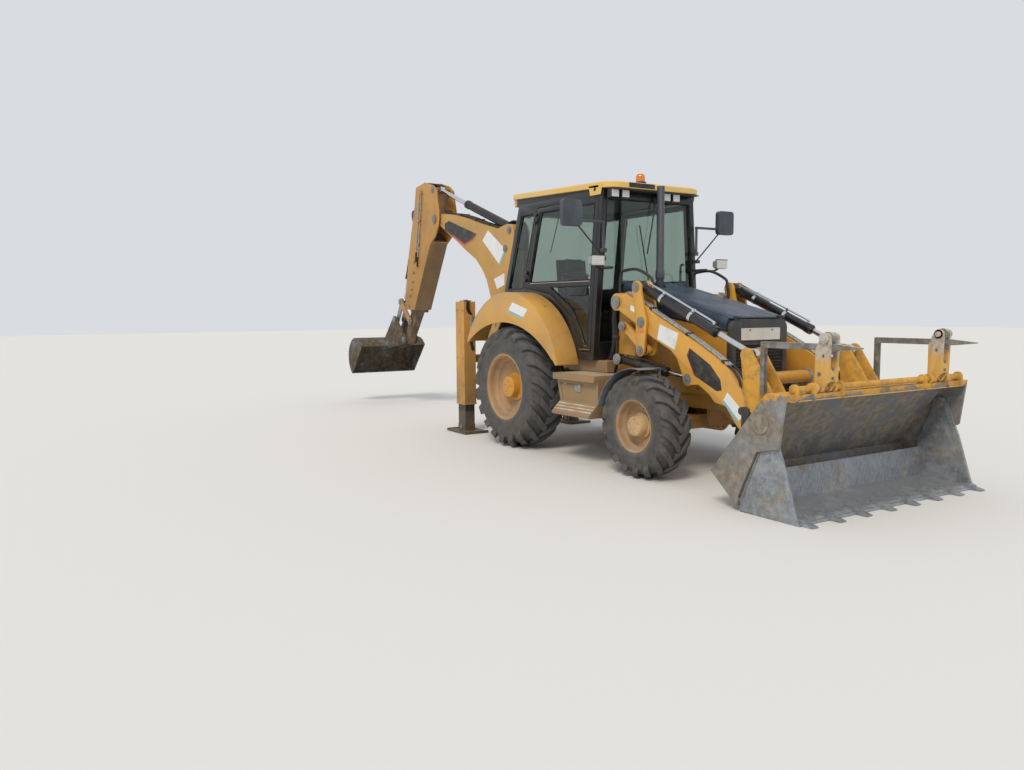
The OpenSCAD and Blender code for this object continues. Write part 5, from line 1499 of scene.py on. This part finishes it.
@dataclass
class LoaderBucket:
    """The clamshell bucket with its cutting edge, clam cylinders and flip-over forks."""
    half: float = 1200.0
    clam_pin: Flat = (3890, 720)
    hinge_pin: Flat = (4135, 1360)
    shaft_pin: Flat = (4090, 985)
    teeth: int = 8
    plough_bolts: int = 15

    def build(self) -> None:
        """Finishes the plates and forks and adds the edge, rings, welds, fork trim and clam cylinders."""
        dress("loader_bucket_back", Palette.bucket_back, 3)
        dress("loader_bucket_clam", Palette.scoured, 3)
        dress("pallet_forks", Palette.fork_paint, 3)
        self.edge()
        self.side_plates()
        self.forks()
        self.clam_cylinders()

    def edge(self) -> None:
        """The bolted cutting edge with its plough bolts, and a holder for each tooth."""
        edge, bolts = shapes(2)
        half = self.half - 22 - 6
        edge.prism([(4090, 27), (4224, 17), (4240, 3), (4238, 0.6), (4100, 2)], -half + 2, half - 2)
        for i in range(self.teeth):
            y = -half + 60 + i * (2 * half - 120) / (self.teeth - 1)
            edge.skin([[(x, y - w, z0), (x, y - w * 0.8, z1), (x, y + w * 0.8, z1), (x, y + w, z0)]
                       for x, w, z0, z1 in ((4105, 46, 22, 34), (4150, 44, 20, 44), (4235, 38, 4, 46),
                                            (4262, 36.5, 2.6, 38))])
            for dx in (0, 46):
                bolts.bolt((4128 + dx, y, 40 + dx * 0.08), (0, 0, 1), 8, 5)
        for i in range(self.plough_bolts):
            y = -half + 140 + i * (2 * half - 280) / (self.plough_bolts - 1)
            bolts.rod((4140, y, 22), (4141, y, 28), 11, sides=16)
        edge.piece("cutting_edge", Palette.scoured, "loader_bucket_clam", bevel=3)
        bolts.piece("edge_bolts", Palette.pin, "loader_bucket_clam", bevel=0)

    def side_plates(self) -> None:
        """Pivot rings, side weld seams and the worn bead along the top edge."""
        rings, welds, lip = shapes(3)
        for side in SIDES:
            y, pivot = side * (self.half + 12), (self.clam_pin[0], 0, self.clam_pin[1])
            rings.lathe([(40, y - side * 13), (70, y - side * 13), (70, y - side * 1), (58, y - side * 0.4),
                         (46, y - side * 1), (40, y - side * 6)], pivot, sides=48)
            rings.lathe([(16, y - side * 18), (34, y - side * 18), (34, y - side * 6), (16, y - side * 8)],
                        pivot, sides=32)
            rings.rod((3770, side * (self.half - 4), 560), (3770, side * (self.half + 4), 560), 20)
            weld = side * (self.half - 24)
            for a, b in (((3700, 120), (3860, 500)), ((3860, 500), (4058, 548))):
                welds.rod((a[0], weld, a[1]), (b[0], weld, b[1]), 7, sides=8)
            for lug in (-70, 70):
                y = side * CYLINDER_Y + lug
                welds.rod((3600, y, 560), (3720, y, 700), 8, sides=8)
        for k in range(24):
            y = -1140 + 95 * k
            lip.skin([[(4104 + j, y + d, 893 + e), (4112 + j, y + d, 893 + e), (4112 + j, y + d, 901 + e),
                       (4104 + j, y + d, 901 + e)] for d, j, e in ((0, 0, 2), (95, 0, 2))])
        rings.piece("clam_pivot_rings", Palette.bucket_back, "loader_bucket", bevel=1.5)
        welds.piece("bucket_welds", Palette.bucket_back, "loader_bucket")
        lip.piece("bucket_top_bead", Palette.fork_yellow, "loader_bucket", bevel=1)

    def forks(self) -> None:
        """Whitish caps on the carriers, their bolts, and the cross shaft's collars."""
        caps, collars, bolts = shapes(3)
        for side in SIDES:
            x, z = self.hinge_pin
            for y, way in ((812, 1), (693, -1)):
                for out, r, sides in ((12, 40, 32), (20, 24, 24)):
                    caps.rod((x, side * y, z), (x, side * (y + way * out), z), r, sides=sides)
            for y in (860, 640):
                collars.lathe([(25, -16), (42, -16), (42, 16), (25, 16)],
                               (self.shaft_pin[0], side * y, self.shaft_pin[1]), sides=32)
            for z in (1080, 1150):
                bolts.bolt((4166, side * 740, z - 20), (1, 0, 0), 9, 8)
            bolts.bolt((4090, side * 801, 1090), (0, side, 0), 11, 10)
        caps.piece("fork_hinge_caps", Palette.white, "loader_bucket", bevel=2)
        collars.piece("fork_shaft_collars", Palette.fork_yellow, "loader_bucket", bevel=2)
        bolts.piece("fork_bolts", Palette.pin, "loader_bucket")

    def clam_cylinders(self) -> None:
        """Short clam cylinders behind the back plate, seen only from behind."""
        barrels = Shape()
        for side in SIDES:
            y = side * 1010
            barrels.rod((3560, y, 760), (3700, y, 640), 38, sides=32)
            barrels.rod((3548, y - 30, 770), (3548, y + 30, 770), 34, sides=24)
            barrels.box((3560, y - 42, 600), (3640, y - 30, 800))
        barrels.piece("clam_cylinder_covers", Palette.cylinder, "loader_bucket", bevel=3)


@dataclass
class Backhoe:
    """Sideshift carriage, swing post, boom, extending stick, ditching bucket and their cylinders."""
    y: float = BOOM_Y
    boom_half: float = 120.0
    stick_half: float = 150.0
    boom_rod_pin: Flat = (-1250, 2400)
    stick_base_pin: Flat = (-1150, 2630)
    stick_pin: Flat = (-3226, 2968)
    stick_rod_pin: Flat = (-3277, 3413)
    curl_base_pin: Flat = (-4110, 3120)
    rocker_pin: Flat = (-4314, 1410)
    curl_rod_pin: Flat = (-4674, 1740)
    bucket_pin: Flat = (-4490, 1110)
    ear_pin: Flat = (-4850, 1440)

    def build(self) -> None:
        """Finishes the CAD nodes and adds pins, hoses, pipes, bolts and labels."""
        for node, finish, bevel in (
                ("sideshift_frame", Palette.frame_yellow, 4), ("sideshift_carriage", Palette.low_yellow, 4),
                ("swing_post", Palette.low_yellow, 5), ("boom", Palette.boom_yellow, 5),
                ("boom_cylinder_barrel", Palette.cylinder, 3), ("boom_cylinder_rod", Palette.chrome, 2),
                ("stick", Palette.stick_yellow, 5), ("stick_extension", Palette.stick_black, 5),
                ("stick_cylinder_barrel", Palette.cylinder, 3), ("stick_cylinder_rod", Palette.chrome, 2),
                ("bucket_cylinder_barrel", Palette.cylinder, 3), ("bucket_cylinder_rod", Palette.chrome, 2),
                ("bucket_rocker", Palette.stick_yellow, 4), ("bucket_link", Palette.fork, 4),
                ("digging_bucket", Palette.dig_steel, 3)):
            dress(node, finish, bevel)
        self.frame_trim()
        self.boom_trim()
        self.stick_trim()
        self.bucket_trim()

    def frame_trim(self) -> None:
        """The carriage's bolts, the ring round the swing axis and the swing hoses."""
        trim, hoses = shapes(2)
        for z in (440, 500, 920, 975):
            for x in (-180, 180):
                trim.bolt((-1619, self.y + x, z), (-1, 0, 0), 14, 12)
        trim.lathe([(44, 0), (78, 0), (78, 14), (44, 14)], (-1780, self.y, 840.5), "Z", 48)
        trim.piece("carriage_bolts", Palette.pin, "sideshift_carriage", bevel=1.5)
        for k in range(6):
            y = self.y - 90 + 36 * k
            hoses.pipe([(-1392, y * 0.4, 1010), (-1470, y * 0.8, 1140), (-1500, y, 1230),
                        (-1520, y, 1120), (-1560, y, 1040)], 11)
        hoses.piece("swing_hoses", Palette.hose, "sideshift_carriage")

    def boom_trim(self) -> None:
        """Pin caps, hoses over the top with their clamps, the dark panel and blank labels."""
        pins, hoses, dark, red, white, clamps, stripe = shapes(7)
        for side in SIDES:
            for (x, z), r in ((self.boom_rod_pin, 50), (self.stick_base_pin, 48)):
                pins.pin_cap((x, self.y + side * self.boom_half, z), side, r)
        near = self.y - self.boom_half
        a, b = near - 1.4, near + 1
        dark.prism([(-2962, 2878), (-2821, 2903), (-2006, 2648), (-2110, 2573), (-2361, 2518),
                    (-2952, 2783)], a, b)
        white.prism([(-1693, 2671), (-1231, 2377), (-1386, 2181), (-1847, 2548)], a, b)
        white.prism([(-1545, 2009), (-1276, 2078), (-1278, 1920), (-1469, 1872)], a, b)
        red.prism([(-2361, 2518), (-2110, 2573), (-2046, 2618), (-2075, 2626), (-2130, 2592),
                   (-2355, 2544), (-2700, 2694), (-2720, 2678)], a - 0.3, b)
        stripe.prism([(-1386, 2181), (-1231, 2377), (-1262, 2397), (-1414, 2205)], near - 2, near)
        top = [(-1510, 2690), (-1923, 2783), (-2303, 2893), (-2705, 2983), (-2980, 3020)]
        for k in range(5):
            y = self.y - 56 + 28 * k
            hoses.pipe([(-1010, y, 2360), (-990, y, 2560), (-1020, y, 2700), (-1120, y, 2748),
                        (-1230, y, 2742), (-1400, y, 2702)]
                       + [(x, y, z + 16) for x, z in top] + [(-3080, y, 3090)], 10, smooth=4)
        for x, z in ((-1750, 2741), (-2120, 2842), (-2550, 2952)):
            clamps.box((x - 16, self.y - 78, z + 1), (x + 16, self.y + 78, z + 32))
        for side in SIDES:
            y = self.y + side * (self.boom_half - 2)
            hoses.pipe([(-1560, self.y + side * 100, 1180), (-1470, y, 1500), (-1330, y, 1620),
                        (-1180, self.y + side * 100, 1720), (-1050, self.y + side * 60, 2200),
                        (-1010, self.y + side * 50, 2380)], 11)
        pins.piece("boom_pin_caps", Palette.pin, "boom", bevel=1.5)
        hoses.piece("boom_hoses", Palette.hose, "boom")
        clamps.piece("boom_hose_clamps", Palette.black, "boom", bevel=3)
        dark.piece("boom_dark_panel", Palette.dark_label, "boom")
        red.piece("boom_red_wedge", Palette.red_label, "boom")
        stripe.piece("boom_label_stripe", Palette.teal_label, "boom")
        white.piece("boom_labels", Palette.label, "boom")

    def stick_trim(self) -> None:
        """Pipes, clamps and bolts on both sides, pin caps and the hose loop."""
        pipes, bolts, pins, hoses = shapes(4)
        for side in SIDES:
            y = self.y + side * (self.stick_half + 12)
            for top, low in (((-3640, 3450), (-3815, 2420)), ((-3693, 3459), (-3870, 2500))):
                pipes.pipe([(top[0], y, top[1]), (low[0], y, low[1])], 9, smooth=1)
            for t in (0.05, 0.45, 0.8):
                x, z = -3640 - 175 * t - 27, 3450 - 1030 * t
                a, b = sorted((y + side * 12, y - side * 13))
                bolts.box((x - 44, a, z - 12), (x + 44, b, z + 12))
            hoses.pipe([(-3815, y, 2430), (-3832, y, 2330), (-3838, y, 2280)], 13)
            hoses.pipe([(-3870, y, 2510), (-3884, y, 2410), (-3888, y, 2360)], 13)
            bolts.box((-3912, min(y + 16, y - side * 12), 2262), (-3812, max(y - 16, y), 2292))
            for x, z in ((-3956, 2362), (-3985, 2189), (-4021, 2047), (-4070, 1930), (-4127, 1826),
                         (-4170, 1665)):
                bolts.rod((x, self.y + side * 148, z), (x, self.y + side * 158, z), 24, sides=24)
                bolts.bolt((x, self.y + side * 157, z), (0, side, 0), 13, 9)
            for (x, z), out, r in ((self.stick_pin, 10, 62), (self.stick_rod_pin, 0, 50)):
                pins.pin_cap((x, self.y + side * (self.stick_half + out), z), side, r)
        for k in range(4):
            y = self.y - 48 + 32 * k
            hoses.pipe([(-3290, y, 3475), (-3380, y, 3512), (-3500, y, 3520), (-3580, y, 3500),
                        (-3620, y, 3440)], 11)
        x, z = self.bucket_pin
        for side in SIDES:
            pins.pin_cap((x, self.y + side * 61, z), side, 45)
        pipes.piece("stick_pipes", Palette.pipe_steel, "stick")
        bolts.piece("stick_bolts", Palette.stick_yellow, "stick", bevel=1.5)
        pins.piece("stick_pin_caps", Palette.pin, "stick", bevel=1.5)
        hoses.piece("stick_hoses", Palette.hose, "stick")

    def bucket_trim(self) -> None:
        """Pin caps of the rocker and the bucket's ears, and the cylinder's pipes and bands."""
        rocker, ears, tube = shapes(3)
        for side in SIDES:
            for x, z in (self.rocker_pin, self.curl_rod_pin):
                rocker.pin_cap((x, self.y + side * 87, z), side, 46)
            for x, z in (self.bucket_pin, self.ear_pin):
                ears.pin_cap((x, self.y + side * 122, z), side, 46)
        line = Stroke(self.curl_base_pin, self.curl_rod_pin, self.y)
        tube.pipe(line.points((110, -44), (130, -66), (960, -66), (1010, -46)), 9)
        tube.pipe([line.at(100, -42, 26), line.at(130, -62, 28), line.at(480, -62, 28)], 8)
        for t in (330, 760):
            tube.rod(line.at(t), line.at(t + 32), 52, sides=32)
        rocker.piece("rocker_pin_caps", Palette.pin, "bucket_rocker", bevel=1.5)
        ears.piece("bucket_pin_caps", Palette.pin, "digging_bucket", bevel=1.5)
        tube.piece("bucket_cylinder_pipes", Palette.cylinder, "bucket_cylinder_barrel")


@dataclass
class Stabilizers:
    """The two stabilizer legs with their hoses, reflectors and foot plates."""

    def build(self) -> None:
        """Finishes the legs and adds what the housings carry.

        The sign used here is the other side's, so each leg carries the other foot's pins and ribs.
        """
        hoses, steel, trim, amber = shapes(4)
        for side in Side:
            s = side.value
            leg = f"stabilizer_{side.word}"
            dress(leg, Palette.leg, 4)
            for k, y in enumerate((-889, -862)):
                hoses.pipe([(-1260, s * y, 1704), (-1215, s * y, 1708), (-1194, s * y, 1690),
                            (-1192, s * y, 1600), (-1190, s * (-839 + 18 * k), 1530)], 11)
                steel.pipe([(-1190, s * (-839 + 18 * k), 1540), (-1190, s * (-844 + 22 * k), 1170)], 9)
                hoses.pipe([(-1190, s * (-844 + 22 * k), 1190), (-1190, s * (-840 + 22 * k), 1150),
                            (-1202, s * (-815 + 20 * k), 1090), (-1250, s * (-790 + 10 * k), 1020)], 11)
            trim.flank(-s, (-1206, 812, 1500), (-1186, 862, 1534))
            trim.flank(-s, (-1206, 812, 1180), (-1186, 862, 1206))
            trim.flank(-s, (-1429, 756, 366), (-1201, 934, 392))
            trim.flank(-s, (-1390, 800, 1698), (-1240, 890, 1716))
            trim.rod((-1315, s * -845, 1712), (-1315, s * -845, 1726), 26)
            for z in (620, 980, 1590):
                trim.bolt((-1392, s * -930, z), (0, -s, 0), 11, 9)
                trim.bolt((-1238, s * -930, z), (0, -s, 0), 11, 9)
            amber.flank(-s, (-1390, 929, 1293), (-1330, 935, 1345))
            pins, foot = shapes(2)
            for y in (-928, -762):
                pins.rod((-1315, s * y, 68), (-1315, s * (y + (5 if y > -900 else -5)), 68), 30)
            for x in (-1558, -1080):
                foot.flank(-s, (x, 662, 23), (x + 18, 1008, 34))
            pins.piece(f"{leg}_foot_pins", Palette.pin, leg, bevel=1.5)
            foot.piece(f"{leg}_foot_ribs", Palette.leg, leg, bevel=2)
        hoses.piece("stabilizer_hoses", Palette.hose, "chassis")
        steel.piece("stabilizer_pipes", Palette.pipe_steel, "chassis")
        trim.piece("stabilizer_trim", Palette.frame_yellow, "chassis", bevel=2)
        amber.piece("stabilizer_reflectors", Palette.amber_lens, "chassis", bevel=1)


@dataclass
class Studio:
    """A pale floor, an even sky with a soft sun, and the photo's camera."""
    lens_mm: float = 28.96
    place: Point = (8.773, -6.063, 1.584)
    yaw: float = 147.82
    pitch: float = 5.18
    roll: float = -0.376
    sky_strength: float = 0.78
    sun_energy: float = 1.8
    sun_width: float = 18.0
    sun_turn: Point = (42, 8, 28)
    floor_half: float = 60.0
    floor_drop: float = 0.0015

    def build(self) -> None:
        """Makes the floor, the light and the camera."""
        scene = bpy.context.scene
        scene.view_settings.view_transform = "Standard"
        self.floor()
        self.light(scene)
        self.camera(scene)

    def floor(self) -> None:
        """A matte pale floor that only shows the object's shadow."""
        data = bpy.data.meshes.new("studio_floor")
        h = self.floor_half
        data.from_pydata([(-h, -h, 0), (h, -h, 0), (h, h, 0), (-h, h, 0)], [], [(0, 1, 2, 3)])
        obj = bpy.data.objects.new("studio_floor", data)
        bpy.context.scene.collection.objects.link(obj)
        paper = bpy.data.materials.new("studio_floor_paint")
        paper.use_nodes = True
        shader = paper.node_tree.nodes["Principled BSDF"]
        shader.inputs["Base Color"].default_value = linear("#d9d9d6")
        shader.inputs["Roughness"].default_value = 0.9
        data.materials.append(paper)
        obj.location.z = -self.floor_drop

    def light(self, scene: bpy.types.Scene) -> None:
        """A pale sky and a sun as soft as one behind thin cloud."""
        world = bpy.data.worlds.new("studio_sky")
        world.use_nodes = True
        ground = world.node_tree.nodes["Background"]
        ground.inputs["Color"].default_value = linear("#f2f5fa")
        ground.inputs["Strength"].default_value = self.sky_strength
        scene.world = world
        data = bpy.data.lights.new("soft_sun", "SUN")
        data.energy, data.angle = self.sun_energy, math.radians(self.sun_width)
        data.color = linear("#fff4e4")[:3]
        sun = bpy.data.objects.new("soft_sun", data)
        sun.rotation_euler = tuple(math.radians(v) for v in self.sun_turn)
        scene.collection.objects.link(sun)

    def camera(self, scene: bpy.types.Scene) -> None:
        """The camera solved from the photo."""
        yaw, pitch, roll = (math.radians(v) for v in (self.yaw, self.pitch, self.roll))
        d = Vector((math.cos(yaw) * math.cos(pitch), math.sin(yaw) * math.cos(pitch), -math.sin(pitch)))
        r = Vector((math.sin(yaw), -math.cos(yaw), 0))
        u = r.cross(d)
        r2 = r * math.cos(roll) + u * math.sin(roll)
        u2 = u * math.cos(roll) - r * math.sin(roll)
        turn = Matrix((r2, u2, -d)).transposed().to_4x4()
        data = bpy.data.cameras.new("photo_camera")
        data.lens, data.sensor_width = self.lens_mm, 36.0
        obj = bpy.data.objects.new("photo_camera", data)
        obj.matrix_world = Matrix.Translation(Vector(self.place)) @ turn
        scene.collection.objects.link(obj)
        scene.camera = obj


def main() -> None:
    """Builds every sub-assembly in order."""
    logging.basicConfig(level=logging.INFO, format="%(name)s: %(message)s")
    for side in Side:
        Wheel("rear", side, REAR_SIZE, Palette.rear_tyre, Palette.hub).build()
        Wheel("front", side, FRONT_SIZE, Palette.front_tyre, Palette.front_hub).build()
    for part in (Chassis(), Cab(), Hood(), Loader(), LoaderBucket(), Backhoe(), Stabilizers(), Studio()):
        part.build()
        LOG.info("%s done", type(part).__name__)


if __name__ == "__main__":
    main()
